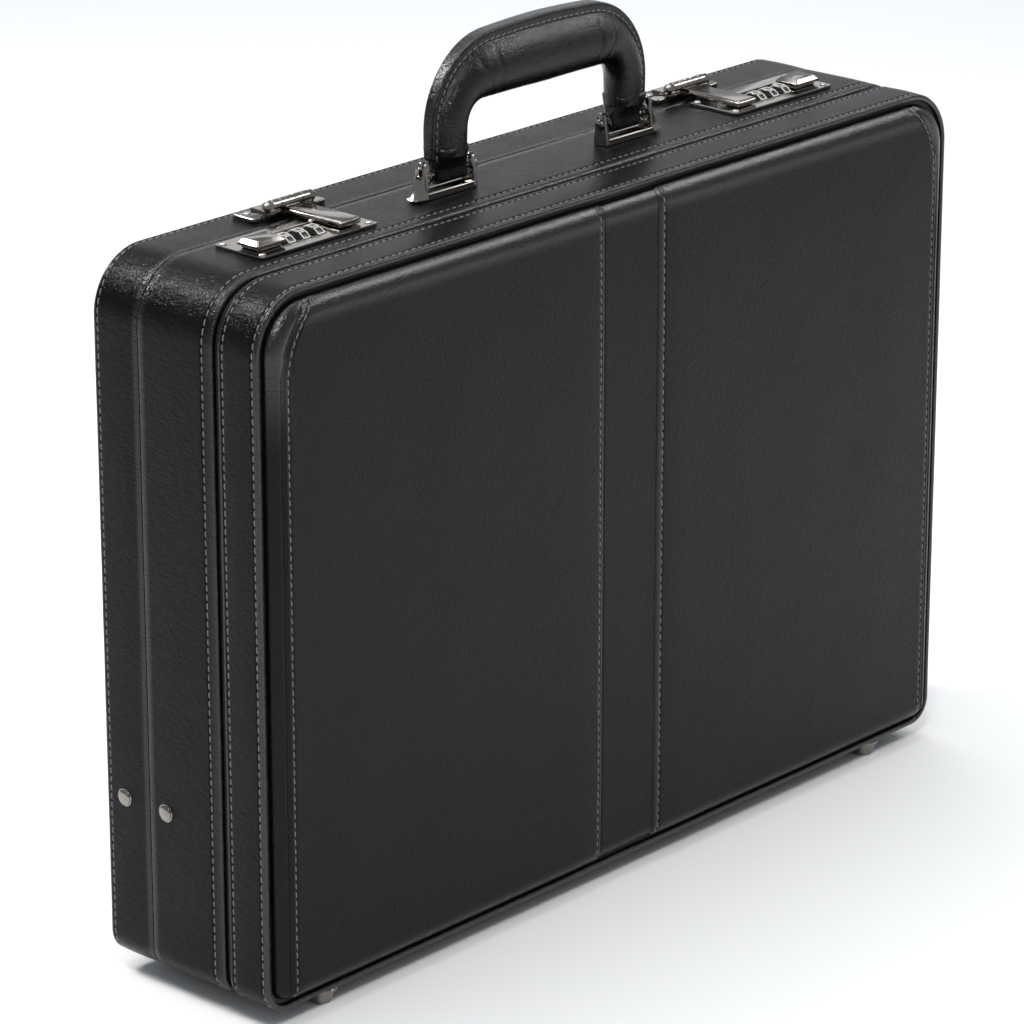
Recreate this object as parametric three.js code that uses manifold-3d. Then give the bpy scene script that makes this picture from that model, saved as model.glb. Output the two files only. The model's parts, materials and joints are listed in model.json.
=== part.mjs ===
// A framed leather attaché case with an expanding front, standing shut on its four feet.
//
// Millimetres, +Z up, +X across the case. The padded front faces -Y and the lid is on the +Y side.
// The origin is on the floor under the middle of the case.
//
// From front to back the case is a front shell that slides forward on a folded gusset, a middle
// frame (the base) that carries the handle and the two locks, and a lid hinged along its bottom
// edge. Two jointed stays hold the lid. The stays, the base and the lid form parallelograms.

import * as THREE from 'three';
import { mergeVertices } from 'three/addons/utils/BufferGeometryUtils.js';
import Module from 'manifold-3d';

// ---- Driving dimensions ----

const GAP = 0.3;                    // left between pieces that touch
const OVERSHOOT = 2;                // how far a cutter runs past what it cuts

const CASE_WIDTH = 457;
const CASE_HEIGHT = 321;            // shell only, without feet and handle
const FOOT_HEIGHT = 8;
const TOP_CORNER_RADIUS = 27;
const BOTTOM_CORNER_RADIUS = 12;

const PARTING_Y = 22;               // where the lid meets the base
const BASE_FRONT_Y = -22;
const GROOVE_WIDTH = 3;             // slot between base and front shell, with the gusset in it
const LIP_Y = 48.4;                 // front and back lips of the leather bands
const PAD_FACE_Y = 53.4;            // outer face of the padded panels

const LEATHER_THICKNESS = 2.2;      // leather with its turned edge
const FRAME_THICKNESS = 5;
const LINING_THICKNESS = 0.8;
const PANEL_THICKNESS = 3;          // front and back boards behind the pads
const PANEL_FACE_Y = 46;
const PAD_INSET = 4.2;              // from the case outline to the pad's edge
const PAD_EDGE = 4;                 // rounding of the pad's edge

const RIVET_Z = 78.3;               // pivot rivets of the stays, above the shell's bottom
const BASE_RIVET_Y = 11.4;
const LID_RIVET_Y = 36.9;
const HINGE_DROP = 2.1;             // hinge axis below the shell's bottom
const WHOLE_TURN = Math.PI * 2;

const LOCK = { x0: 118, x1: 188, y0: -12, y1: 17, thickness: 1.2, corner: 2 };
const POCKET = { margin: 3, depth: 12, wall: 1.2 };
const DIAL = { firstX: 146, pitch: 8.7, y: 0, radius: 7, width: 4.4, proud: 2.5, bore: 1.6 };
const BUTTON = { x: 176.5, stem: 6, stemDepth: 7, capX: 17, capY: 13, capHeight: 3.4, travel: 4 };
const HASP = { x: 131, y: 29, rise: 5.5, knuckle: 2.8, width: 12.8, thickness: 3, tipY: -8 };
const HASP_BRACKET = { halfLength: 22, y0: 24.5, y1: 42, thickness: 2, barrel: 11 };
const BRACKET = { inner: 42.2, outer: 75.2, flare: 77.7, ear: 2.5, floor: 2, depth: 8, innerEar: 15, outerEar: 17 };
const HANDLE = { x: -4, y: 1, pivotRise: 10, legBottom: 16, top: 70, opening: 39, thickness: 20, arch: 1.2 };
const GRIP = { legInner: 49.5, legOuter: 70, outerRadius: 40, innerRadius: 10 };
const STAY = { halfWidth: 4.5, thickness: 2, lowerX: 215.2, upperX: 211.4, pin: 1.6, hole: 1.9 };
const PIANO = { halfLength: 198, knuckles: 9, radius: 1.9, bore: 1, pin: 0.7, leaf: 0.8, leafWidth: 8 };
const FOOT = { x: 188, y: 40, topRadius: 7.6, bottomRadius: 5 };

// ---- Values worked out from them ----

const BOTTOM = FOOT_HEIGHT;
const TOP = FOOT_HEIGHT + CASE_HEIGHT;
const FRONT_SHELL_Y = BASE_FRONT_Y - GROOVE_WIDTH;
const FRAME_INSET = LEATHER_THICKNESS + GAP;
const FRAME_INNER = FRAME_INSET + FRAME_THICKNESS;
const LINING_INSET = FRAME_INNER + GAP;
const LINING_INNER = LINING_INSET + LINING_THICKNESS;
const LINING_FACE_Y = PANEL_FACE_Y - PANEL_THICKNESS - GAP;
const HINGE = { y: PARTING_Y, z: BOTTOM - HINGE_DROP };
const BASE_PIVOT = { y: BASE_RIVET_Y, z: BOTTOM + RIVET_Z };
const LID_PIVOT = { y: LID_RIVET_Y, z: BOTTOM + RIVET_Z };
const KNEE = {
  y: BASE_PIVOT.y + LID_PIVOT.y - HINGE.y,
  z: BASE_PIVOT.z + LID_PIVOT.z - HINGE.z,
};
const PLATE_TOP = TOP + GAP + LOCK.thickness;
const DIAL_Z = PLATE_TOP + DIAL.proud - DIAL.radius;
const HANDLE_PIVOT_Z = TOP + HANDLE.pivotRise;

// ---- Materials ----

const surface = (color, roughness, metalness) =>
  new THREE.MeshStandardMaterial({ color, roughness, metalness });
const leather = surface(0x17171a, 0.42, 0);
const board = surface(0x6b5334, 0.8, 0);
const cloth = surface(0x24242a, 0.95, 0);
const gunmetal = surface(0x6f6a64, 0.3, 1);
const darkMetal = surface(0x2e2d2c, 0.4, 1);
const dialBlack = surface(0x101010, 0.35, 0);

// ---- Solids ----

const wasm = await Module();
wasm.setup();

const caseGroup = new THREE.Group();

// The same surface with shared vertices and positions only.
function bare(geometry) {
  const copy = geometry.clone();
  copy.deleteAttribute('normal');
  copy.deleteAttribute('uv');
  return mergeVertices(copy, 1e-4);
}

function toSolid(geometry) {
  const merged = bare(geometry);
  return new wasm.Manifold(new wasm.Mesh({
    numProp: 3,
    vertProperties: new Float32Array(merged.attributes.position.array),
    triVerts: new Uint32Array(merged.index.array),
  }));
}

function fromSolid(solid) {
  const mesh = solid.getMesh();
  const geometry = new THREE.BufferGeometry();
  geometry.setAttribute('position', new THREE.BufferAttribute(mesh.vertProperties, 3));
  geometry.setIndex(new THREE.BufferAttribute(mesh.triVerts, 1));
  return geometry;
}

function cut(geometry, tools) {
  const start = toSolid(geometry);
  return fromSolid(tools.reduce((solid, tool) => solid.subtract(toSolid(tool)), start));
}

function join(geometries) {
  const [first, ...rest] = geometries.map(toSolid);
  return fromSolid(rest.reduce((solid, other) => solid.add(other), first));
}

// A copy on the other side of the plane x = 0, with its faces still pointing out.
function mirrored(geometry) {
  const copy = bare(geometry);
  copy.scale(-1, 1, 1);
  const index = copy.index.array;
  for (let i = 0; i < index.length; i += 3) {
    [index[i], index[i + 1]] = [index[i + 1], index[i]];
  }
  return copy;
}

function addPiece(name, geometry, material, group = caseGroup) {
  const mesh = new THREE.Mesh(geometry, material);
  mesh.name = name;
  group.add(mesh);
}

function addPair(name, geometry, material, suffix = '', group = caseGroup) {
  addPiece(`${name}_right${suffix}`, geometry, material, group);
  addPiece(`${name}_left${suffix}`, mirrored(geometry), material, group);
}

// ---- Extrusions ----

// A shape in the XZ plane, extruded from one Y to another.
function alongY(shape, yA, yB, settings = {}) {
  const [low, high] = [Math.min(yA, yB), Math.max(yA, yB)];
  const geometry = new THREE.ExtrudeGeometry(shape, {
    depth: high - low, bevelEnabled: false, curveSegments: 4, ...settings,
  });
  geometry.rotateX(Math.PI / 2);
  geometry.translate(0, high, 0);
  return geometry;
}

// A shape in the XY plane, extruded from one Z to another.
function alongZ(shape, zLow, zHigh) {
  const geometry = new THREE.ExtrudeGeometry(shape, {
    depth: zHigh - zLow, bevelEnabled: false, curveSegments: 2,
  });
  geometry.translate(0, 0, zLow);
  return geometry;
}

// A shape in the YZ plane, extruded from one X to another.
function alongX(shape, xLow, xHigh, curveSegments = 6) {
  const geometry = new THREE.ExtrudeGeometry(shape, {
    depth: xHigh - xLow, bevelEnabled: false, curveSegments,
  });
  const basis = new THREE.Matrix4().makeBasis(
    new THREE.Vector3(0, 1, 0), new THREE.Vector3(0, 0, 1), new THREE.Vector3(1, 0, 0),
  );
  geometry.applyMatrix4(basis);
  geometry.translate(xLow, 0, 0);
  return geometry;
}

function block(x0, x1, y0, y1, z0, z1) {
  const geometry = new THREE.BoxGeometry(x1 - x0, y1 - y0, z1 - z0);
  geometry.translate((x0 + x1) / 2, (y0 + y1) / 2, (z0 + z1) / 2);
  return geometry;
}

function circle(u, v, radius, Kind = THREE.Shape) {
  const path = new Kind();
  path.absarc(u, v, radius, 0, WHOLE_TURN);
  return path;
}

// A round bar along X through the point (y, z).
function bar(xLow, xHigh, y, z, radius, curveSegments = 4) {
  return alongX(circle(y, z, radius), xLow, xHigh, curveSegments);
}

function roundedRectangle(x0, x1, y0, y1, radius) {
  const shape = new THREE.Shape();
  shape.absarc(x0 + radius, y0 + radius, radius, Math.PI, Math.PI * 1.5);
  shape.absarc(x1 - radius, y0 + radius, radius, Math.PI * 1.5, Math.PI * 2);
  shape.absarc(x1 - radius, y1 - radius, radius, 0, Math.PI / 2);
  shape.absarc(x0 + radius, y1 - radius, radius, Math.PI / 2, Math.PI);
  return shape;
}

// The case's outline in the XZ plane, moved inward by the inset.
function outline(inset, Kind = THREE.Shape) {
  const half = CASE_WIDTH / 2 - inset;
  const low = BOTTOM + inset;
  const high = TOP - inset;
  const topRadius = TOP_CORNER_RADIUS - inset;
  const bottomRadius = BOTTOM_CORNER_RADIUS - inset;
  const path = new Kind();
  path.absarc(-half + bottomRadius, low + bottomRadius, bottomRadius, Math.PI, Math.PI * 1.5);
  path.absarc(half - bottomRadius, low + bottomRadius, bottomRadius, Math.PI * 1.5, Math.PI * 2);
  path.absarc(half - topRadius, high - topRadius, topRadius, 0, Math.PI / 2);
  path.absarc(-half + topRadius, high - topRadius, topRadius, Math.PI / 2, Math.PI);
  return path;
}

// A band round the case between two insets.
function ring(outerInset, innerInset, yA, yB) {
  const shape = outline(outerInset);
  shape.holes.push(outline(innerInset, THREE.Path));
  return alongY(shape, yA, yB);
}

// A box with its back at faceY and its open mouth at mouthY.
function tray(outerInset, innerInset, faceY, mouthY, floorThickness) {
  const inward = Math.sign(mouthY - faceY);
  const body = alongY(outline(outerInset), faceY, mouthY);
  const floorY = faceY + inward * floorThickness;
  const hollow = alongY(outline(innerInset), floorY, mouthY + inward * OVERSHOOT);
  return cut(body, [hollow]);
}

const bothSides = (geometry) => [geometry, mirrored(geometry)];

// Holes through both side walls for a pair of pivot rivets.
function rivetHoles(pivot) {
  const inside = CASE_WIDTH / 2 - LINING_INNER - OVERSHOOT;
  const outside = CASE_WIDTH / 2 + OVERSHOOT;
  return bothSides(bar(inside, outside, pivot.y, pivot.z, STAY.hole));
}

// Pockets through the top wall for the two lock cases.
function lockPockets() {
  const m = POCKET.margin;
  return bothSides(block(
    LOCK.x0 + m, LOCK.x1 - m, LOCK.y0 + m, LOCK.y1 - m,
    TOP - POCKET.depth - OVERSHOOT, TOP + OVERSHOOT,
  ));
}

// ---- Base ----

function addBase() {
  const back = PARTING_Y - GAP / 2;
  const holes = [...rivetHoles(BASE_PIVOT), ...lockPockets()];
  const liningMargin = 0.5;
  addPiece('base_frame_core', cut(ring(FRAME_INSET, FRAME_INNER, BASE_FRONT_Y, back), holes), board);
  addPiece('base_leather_band', cut(ring(0, LEATHER_THICKNESS, BASE_FRONT_Y, back), holes), leather);
  addPiece('base_lining', cut(
    ring(LINING_INSET, LINING_INNER, BASE_FRONT_Y + liningMargin, back - liningMargin), holes,
  ), cloth);
}

// The folded gusset, packed into the groove between base and front shell.
function addGusset() {
  const outer = 3.2;
  const inner = 6.2;
  addPiece('expansion_gusset', ring(outer, inner, FRONT_SHELL_Y + GAP, BASE_FRONT_Y - GAP), leather);
}

// ---- Front shell and lid ----

// The frame, leather band, lining and pad of a shell whose face is on one side in Y.
function addShell(name, side, mouthY, holes) {
  const mouth = mouthY + side * GAP / 2;
  const frame = tray(FRAME_INSET, FRAME_INNER, side * PANEL_FACE_Y, mouth, PANEL_THICKNESS);
  const band = ring(0, LEATHER_THICKNESS, side * LIP_Y, mouth);
  const lining = tray(LINING_INSET, LINING_INNER, side * LINING_FACE_Y, mouth, LINING_THICKNESS);
  addPiece(`${name}_core`, cut(frame, holes), board);
  addPiece(`${name}_leather_band`, cut(band, holes), leather);
  addPiece(`${name}_lining`, cut(lining, holes), cloth);
  const bevel = {
    bevelEnabled: true, bevelThickness: PAD_EDGE / 2, bevelSize: PAD_EDGE, bevelOffset: -PAD_EDGE,
    bevelSegments: 2,
  };
  const padBack = PANEL_FACE_Y + GAP + PAD_EDGE / 2;
  const padFront = PAD_FACE_Y - PAD_EDGE / 2;
  addPiece(`${name}_pad`, alongY(outline(PAD_INSET), side * padBack, side * padFront, bevel), leather);
}

// The pocket panel on the inside of the lid.
function addOrganizer() {
  const thickness = 2.6;
  const back = LINING_FACE_Y - LINING_THICKNESS - GAP;
  const panel = { halfWidth: 200, low: BOTTOM + 40, high: TOP - 40 };
  addPiece('lid_organizer', block(
    -panel.halfWidth, panel.halfWidth, back - thickness, back, panel.low, panel.high,
  ), cloth);
}

// Flat bars on the front shell that run along the base's side walls as the case expands.
function addExpanderSlides() {
  const x = 216;
  const z = TOP - 89;
  const height = 12;
  const end = PARTING_Y - 4;
  const start = -LINING_FACE_Y + LINING_THICKNESS + GAP;
  addPair('expander_slide', block(x, x + STAY.thickness, start, end, z, z + height), gunmetal);
}

function footGeometry(y) {
  const height = FOOT_HEIGHT - GAP;
  const waist = height * 0.75;
  const profile = [
    new THREE.Vector2(0, 0),
    new THREE.Vector2(FOOT.bottomRadius, 0),
    new THREE.Vector2(FOOT.topRadius - 1, waist),
    new THREE.Vector2(FOOT.topRadius, height),
    new THREE.Vector2(0, height),
  ];
  const geometry = new THREE.LatheGeometry(profile, 16);
  geometry.rotateX(Math.PI / 2);
  geometry.translate(FOOT.x, y, 0);
  return geometry;
}

// ---- Lid hinge ----

// One leaf of the piano hinge with every second knuckle. Side is 1 on the lid and -1 on the base.
function hingeLeaf(side, firstKnuckle) {
  const top = BOTTOM - GAP;
  const low = top - PIANO.leaf;
  const rootY = HINGE.y + side * (PIANO.radius + GAP);
  const farY = HINGE.y + side * (PIANO.radius + PIANO.leafWidth);
  const [y0, y1] = [Math.min(rootY, farY), Math.max(rootY, farY)];
  const pieces = [block(-PIANO.halfLength, PIANO.halfLength, y0, y1, low, top)];
  const length = PIANO.halfLength * 2 / PIANO.knuckles;
  for (let i = firstKnuckle; i < PIANO.knuckles; i += 2) {
    const x0 = -PIANO.halfLength + i * length + GAP / 2;
    const x1 = x0 + length - GAP;
    const [t0, t1] = [Math.min(HINGE.y, rootY + side), Math.max(HINGE.y, rootY + side)];
    pieces.push(bar(x0, x1, HINGE.y, HINGE.z, PIANO.radius, 3));
    pieces.push(block(x0, x1, t0, t1, low, top));
  }
  const boreEnd = PIANO.halfLength + OVERSHOOT;
  return cut(join(pieces), [bar(-boreEnd, boreEnd, HINGE.y, HINGE.z, PIANO.bore, 3)]);
}

function addHinge() {
  addPiece('hinge_base_leaf', hingeLeaf(-1, 0), darkMetal);
  addPiece('hinge_lid_leaf', hingeLeaf(1, 1), darkMetal);
  addPiece('hinge_pin', bar(-PIANO.halfLength, PIANO.halfLength, HINGE.y, HINGE.z, PIANO.pin, 3), darkMetal);
}

// ---- Lid stays ----

// A flat link between two pivots with a hole at each of the named ends.
function link(from, to, x, holes) {
  const angle = Math.atan2(to.z - from.z, to.y - from.y);
  const quarter = Math.PI / 2;
  const shape = new THREE.Shape();
  shape.absarc(to.y, to.z, STAY.halfWidth, angle - quarter, angle + quarter);
  shape.absarc(from.y, from.z, STAY.halfWidth, angle + quarter, angle + 3 * quarter);
  for (const hole of holes) {
    shape.holes.push(circle(hole.y, hole.z, STAY.hole, THREE.Path));
  }
  return alongX(shape, x, x + STAY.thickness, 4);
}

function addStays() {
  const headRadius = 2.8;
  const headThickness = 1;
  const headX = STAY.upperX - GAP - headThickness;
  const lower = join([
    link(BASE_PIVOT, KNEE, STAY.lowerX, [BASE_PIVOT]),
    bar(headX + headThickness / 2, STAY.lowerX + STAY.thickness / 2, KNEE.y, KNEE.z, STAY.pin),
    bar(headX, headX + headThickness, KNEE.y, KNEE.z, headRadius),
  ]);
  addPair('stay_lower', lower, gunmetal);
  addPair('stay_upper', link(LID_PIVOT, KNEE, STAY.upperX, [LID_PIVOT, KNEE]), gunmetal);
}

// A domed rivet through a side wall, ending inside the link that turns on it.
function stayRivet(pivot, innerX) {
  const domeRadius = 4.2;
  const domeHeight = 1.6;
  const seat = CASE_WIDTH / 2 + GAP;
  const profile = [
    new THREE.Vector2(0, innerX),
    new THREE.Vector2(STAY.pin, innerX),
    new THREE.Vector2(STAY.pin, seat),
    new THREE.Vector2(domeRadius, seat),
    new THREE.Vector2(domeRadius * 0.85, seat + domeHeight * 0.6),
    new THREE.Vector2(domeRadius * 0.45, seat + domeHeight * 0.95),
    new THREE.Vector2(0, seat + domeHeight),
  ];
  const geometry = new THREE.LatheGeometry(profile, 12);
  geometry.rotateZ(-Math.PI / 2);
  geometry.translate(0, pivot.y, pivot.z);
  return geometry;
}

// ---- Locks ----

function dialX(index) {
  return DIAL.firstX + index * DIAL.pitch;
}

function lockPlate() {
  const plate = alongZ(
    roundedRectangle(LOCK.x0, LOCK.x1, LOCK.y0, LOCK.y1, LOCK.corner), TOP + GAP, PLATE_TOP,
  );
  const low = TOP - OVERSHOOT;
  const high = PLATE_TOP + OVERSHOOT;
  const slotHalfLength = DIAL.radius - 0.4;
  const slotHalfWidth = DIAL.width / 2 + GAP;
  const slots = [0, 1, 2].map((i) => block(
    dialX(i) - slotHalfWidth, dialX(i) + slotHalfWidth,
    DIAL.y - slotHalfLength, DIAL.y + slotHalfLength, low, high,
  ));
  const stem = BUTTON.stem / 2 + GAP;
  slots.push(block(BUTTON.x - stem, BUTTON.x + stem + BUTTON.travel, -stem, stem, low, high));
  return cut(plate, slots);
}

// An open-topped box under the plate, with two ribs that hold the dial axle's ends.
function lockCase() {
  const edge = POCKET.margin + GAP;
  const outer = [LOCK.x0 + edge, LOCK.x1 - edge, LOCK.y0 + edge, LOCK.y1 - edge];
  const w = POCKET.wall;
  const floor = TOP - POCKET.depth;
  const box = block(...outer, floor, TOP);
  const hollow = block(outer[0] + w, outer[1] - w, outer[2] + w, outer[3] - w, floor + w, TOP + OVERSHOOT);
  const ribs = axleEnds().map(([near, far]) => block(
    Math.min(near, far), Math.max(near, far), outer[2] + w / 2, outer[3] - w / 2, floor + w / 2, TOP - w,
  ));
  return join([cut(box, [hollow]), ...ribs]);
}

// The inner and outer faces of the two ribs.
function axleEnds() {
  const clear = DIAL.width / 2 + 1;
  const first = dialX(0) - clear;
  const last = dialX(2) + clear;
  const rib = 1;
  return [[first, first - rib], [last, last + rib]];
}

function dialWheel(index) {
  const shape = circle(DIAL.y, DIAL_Z, DIAL.radius);
  shape.holes.push(circle(DIAL.y, DIAL_Z, DIAL.bore, THREE.Path));
  const half = DIAL.width / 2;
  return alongX(shape, dialX(index) - half, dialX(index) + half, 10);
}

function lockButton() {
  const half = BUTTON.stem / 2;
  const capLow = PLATE_TOP + 1;
  const capHigh = capLow + BUTTON.capHeight;
  const stem = block(
    BUTTON.x - half, BUTTON.x + half, -half, half, PLATE_TOP - BUTTON.stemDepth, capLow + 1,
  );
  const cap = alongZ(roundedRectangle(
    BUTTON.x - BUTTON.capX / 2, BUTTON.x + BUTTON.capX / 2, -BUTTON.capY / 2, BUTTON.capY / 2, 3,
  ), capLow, capHigh);
  return join([stem, cap]);
}

// The lid-side hinge bracket of a hasp: a plate with two knuckles.
function haspBracket() {
  const low = TOP + GAP;
  const high = low + HASP_BRACKET.thickness;
  const axisZ = TOP + HASP.rise;
  const plate = alongZ(roundedRectangle(
    HASP.x - HASP_BRACKET.halfLength, HASP.x + HASP_BRACKET.halfLength, HASP_BRACKET.y0, HASP_BRACKET.y1, 1.5,
  ), low, high);
  const near = HASP.width / 2 + GAP;
  const pieces = [plate];
  for (const side of [-1, 1]) {
    const ends = [HASP.x + side * near, HASP.x + side * HASP_BRACKET.barrel];
    const [x0, x1] = [Math.min(...ends), Math.max(...ends)];
    pieces.push(bar(x0, x1, HASP.y, axisZ, HASP.knuckle, 3));
    pieces.push(block(x0, x1, HASP.y - 1.5, HASP.y + 1.5, low + 1, axisZ));
  }
  return cut(join(pieces), [haspBore()]);
}

function haspBore() {
  const reach = HASP_BRACKET.barrel + OVERSHOOT;
  const bore = 1.35;
  return bar(HASP.x - reach, HASP.x + reach, HASP.y, TOP + HASP.rise, bore, 3);
}

// The tongue that swings down from the lid over the lock plate.
function hasp() {
  const axisZ = TOP + HASP.rise;
  const under = PLATE_TOP + 0.5;
  const over = under + HASP.thickness;
  const overBracket = TOP + GAP + HASP_BRACKET.thickness + 0.4;
  const tipBevel = 1;
  const shape = new THREE.Shape();
  shape.moveTo(HASP.tipY, under);
  shape.lineTo(HASP_BRACKET.y0 - 2, under);
  shape.lineTo(HASP_BRACKET.y0 - 1, overBracket);
  shape.lineTo(HASP.y - 1, overBracket);
  shape.lineTo(HASP.y, axisZ);
  shape.lineTo(HASP.y - 1, over + 1);
  shape.lineTo(HASP.y - HASP.knuckle - 1, over);
  shape.lineTo(HASP.tipY + tipBevel, over);
  shape.lineTo(HASP.tipY, over - tipBevel);
  const half = HASP.width / 2;
  const tongue = alongX(shape, HASP.x - half, HASP.x + half);
  const knuckle = bar(HASP.x - half, HASP.x + half, HASP.y, axisZ, HASP.knuckle, 3);
  return cut(join([tongue, knuckle]), [haspBore()]);
}

function haspPin() {
  const pin = 1.05;
  const reach = HASP_BRACKET.barrel + 1;
  return bar(HASP.x - reach, HASP.x + reach, HASP.y, TOP + HASP.rise, pin, 3);
}

function addLocks() {
  const [[axleStart], [axleEnd]] = axleEnds();
  addPair('lock_plate', lockPlate(), gunmetal);
  addPair('lock_case', lockCase(), darkMetal);
  addPair('dial_axle', bar(axleStart + GAP, axleEnd - GAP, DIAL.y, DIAL_Z, DIAL.bore - GAP, 3), gunmetal);
  for (const index of [0, 1, 2]) {
    addPair('dial', dialWheel(index), dialBlack, `_${index + 1}`);
  }
  addPair('lock_button', lockButton(), gunmetal);
  addPair('hasp_bracket', haspBracket(), gunmetal);
  addPair('hasp', hasp(), gunmetal);
  addPair('hasp_pin', haspPin(), gunmetal);
}

// ---- Handle ----

// A U-shaped bracket with an ear at each end of the handle's leg.
function handleBracket() {
  const low = TOP + GAP;
  const floor = low + BRACKET.floor;
  const footCurve = 5;
  const shape = new THREE.Shape();
  shape.moveTo(BRACKET.inner, low);
  shape.lineTo(BRACKET.flare, low);
  shape.lineTo(BRACKET.flare, low + 1);
  shape.quadraticCurveTo(BRACKET.outer, low + 1, BRACKET.outer, low + footCurve);
  shape.lineTo(BRACKET.outer, TOP + BRACKET.outerEar);
  shape.lineTo(BRACKET.outer - BRACKET.ear, TOP + BRACKET.outerEar);
  shape.lineTo(BRACKET.outer - BRACKET.ear, floor);
  shape.lineTo(BRACKET.inner + BRACKET.ear, floor);
  shape.lineTo(BRACKET.inner + BRACKET.ear, TOP + BRACKET.innerEar);
  shape.lineTo(BRACKET.inner, TOP + BRACKET.innerEar);
  const half = BRACKET.depth / 2;
  const body = alongY(shape, HANDLE.y - half, HANDLE.y + half);
  const bore = bar(
    BRACKET.inner - OVERSHOOT, BRACKET.flare + OVERSHOOT, HANDLE.y, HANDLE_PIVOT_Z, STAY.hole,
  );
  return cut(body, [bore]);
}

// The pin through both ears, with a head on the side towards the middle of the case.
function handlePin() {
  const headRadius = 2.7;
  const headThickness = 1.2;
  const seat = BRACKET.inner - GAP;
  return join([
    bar(seat - headThickness, seat, HANDLE.y, HANDLE_PIVOT_Z, headRadius),
    bar(seat - headThickness / 2, BRACKET.outer + 1, HANDLE.y, HANDLE_PIVOT_Z, STAY.pin),
  ]);
}

// The padded grip with its two legs, as one arch in the XZ plane.
function handleGrip() {
  const { legInner: inner, legOuter: outer, outerRadius, innerRadius } = GRIP;
  const legBottom = TOP + HANDLE.legBottom;
  const top = TOP + HANDLE.top;
  const shoulder = top - HANDLE.arch;
  const openingTop = TOP + HANDLE.opening;
  const shape = new THREE.Shape();
  shape.moveTo(outer, legBottom);
  shape.lineTo(outer, shoulder - outerRadius);
  shape.absarc(outer - outerRadius, shoulder - outerRadius, outerRadius, 0, Math.PI / 2);
  shape.quadraticCurveTo(0, top + HANDLE.arch, -outer + outerRadius, shoulder);
  shape.absarc(-outer + outerRadius, shoulder - outerRadius, outerRadius, Math.PI / 2, Math.PI);
  shape.lineTo(-outer, legBottom);
  shape.lineTo(-inner, legBottom);
  shape.absarc(-inner + innerRadius, openingTop - innerRadius, innerRadius, Math.PI, Math.PI / 2, true);
  shape.absarc(inner - innerRadius, openingTop - innerRadius, innerRadius, Math.PI / 2, 0, true);
  shape.lineTo(inner, legBottom);
  const edge = 3;
  const half = HANDLE.thickness / 2 - edge;
  return alongY(shape, HANDLE.y - half, HANDLE.y + half, {
    bevelEnabled: true, bevelThickness: edge, bevelSize: edge, bevelOffset: -edge, bevelSegments: 2,
  });
}

// The leather loop at the foot of a leg, wrapped round the pivot pin.
function handleEnd() {
  const outer = BRACKET.outer - BRACKET.ear - GAP;
  const inner = BRACKET.inner + BRACKET.ear + GAP;
  const below = 5;
  const half = 4;
  const loop = block(
    inner, outer, HANDLE.y - half, HANDLE.y + half,
    HANDLE_PIVOT_Z - below, TOP + HANDLE.legBottom - GAP,
  );
  const bore = bar(inner - OVERSHOOT, outer + OVERSHOOT, HANDLE.y, HANDLE_PIVOT_Z, STAY.hole);
  return cut(loop, [bore]);
}

// The handle and its brackets sit a little to the left of the case's middle.
function addHandle() {
  const group = new THREE.Group();
  group.position.x = HANDLE.x;
  caseGroup.add(group);
  addPair('handle_bracket', handleBracket(), gunmetal, '', group);
  addPair('handle_pivot_pin', handlePin(), gunmetal, '', group);
  addPair('handle_end', handleEnd(), leather, '', group);
  addPiece('handle_grip', handleGrip(), leather, group);
}

// ---- The whole case ----

addBase();
addGusset();
addShell('front', -1, FRONT_SHELL_Y + GAP / 2, []);
addShell('lid', 1, PARTING_Y, rivetHoles(LID_PIVOT));
addOrganizer();
addExpanderSlides();
addPair('foot_front', footGeometry(-FOOT.y), gunmetal);
addPair('foot_rear', footGeometry(FOOT.y), gunmetal);
addHinge();
addStays();
addPair('base_stay_rivet', stayRivet(BASE_PIVOT, STAY.lowerX - GAP), gunmetal);
addPair('lid_stay_rivet', stayRivet(LID_PIVOT, STAY.upperX - GAP), gunmetal);
addLocks();
addHandle();

export default caseGroup;
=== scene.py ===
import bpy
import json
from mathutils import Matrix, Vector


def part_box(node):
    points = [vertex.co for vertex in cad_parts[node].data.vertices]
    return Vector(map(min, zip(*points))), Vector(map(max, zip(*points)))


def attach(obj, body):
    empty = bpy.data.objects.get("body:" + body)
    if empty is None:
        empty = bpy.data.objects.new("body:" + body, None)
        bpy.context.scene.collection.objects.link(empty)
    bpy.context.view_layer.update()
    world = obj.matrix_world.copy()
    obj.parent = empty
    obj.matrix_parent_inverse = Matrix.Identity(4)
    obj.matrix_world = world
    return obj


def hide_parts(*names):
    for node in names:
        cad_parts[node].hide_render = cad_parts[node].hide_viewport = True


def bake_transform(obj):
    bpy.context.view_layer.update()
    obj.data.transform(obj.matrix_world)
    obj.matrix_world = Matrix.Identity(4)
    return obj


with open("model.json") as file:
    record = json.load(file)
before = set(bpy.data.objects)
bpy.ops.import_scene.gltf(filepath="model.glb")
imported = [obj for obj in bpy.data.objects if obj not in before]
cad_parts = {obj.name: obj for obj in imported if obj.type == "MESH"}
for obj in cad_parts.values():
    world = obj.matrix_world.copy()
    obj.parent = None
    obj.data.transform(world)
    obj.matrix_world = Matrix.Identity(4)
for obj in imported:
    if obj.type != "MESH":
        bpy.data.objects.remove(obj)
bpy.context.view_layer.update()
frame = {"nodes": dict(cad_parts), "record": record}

import json
import math

import bmesh
import bpy
import numpy as np
from mathutils import Matrix, Vector, noise

# Lengths are in millimetres until a mesh is made, and MM turns them into metres.
MM = 0.001

# ---- Sizes read from the frame ----


def limits(node):
    """A node's lowest and highest corners in millimetres."""
    low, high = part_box(node)
    return np.array(low) / MM, np.array(high) / MM


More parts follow.
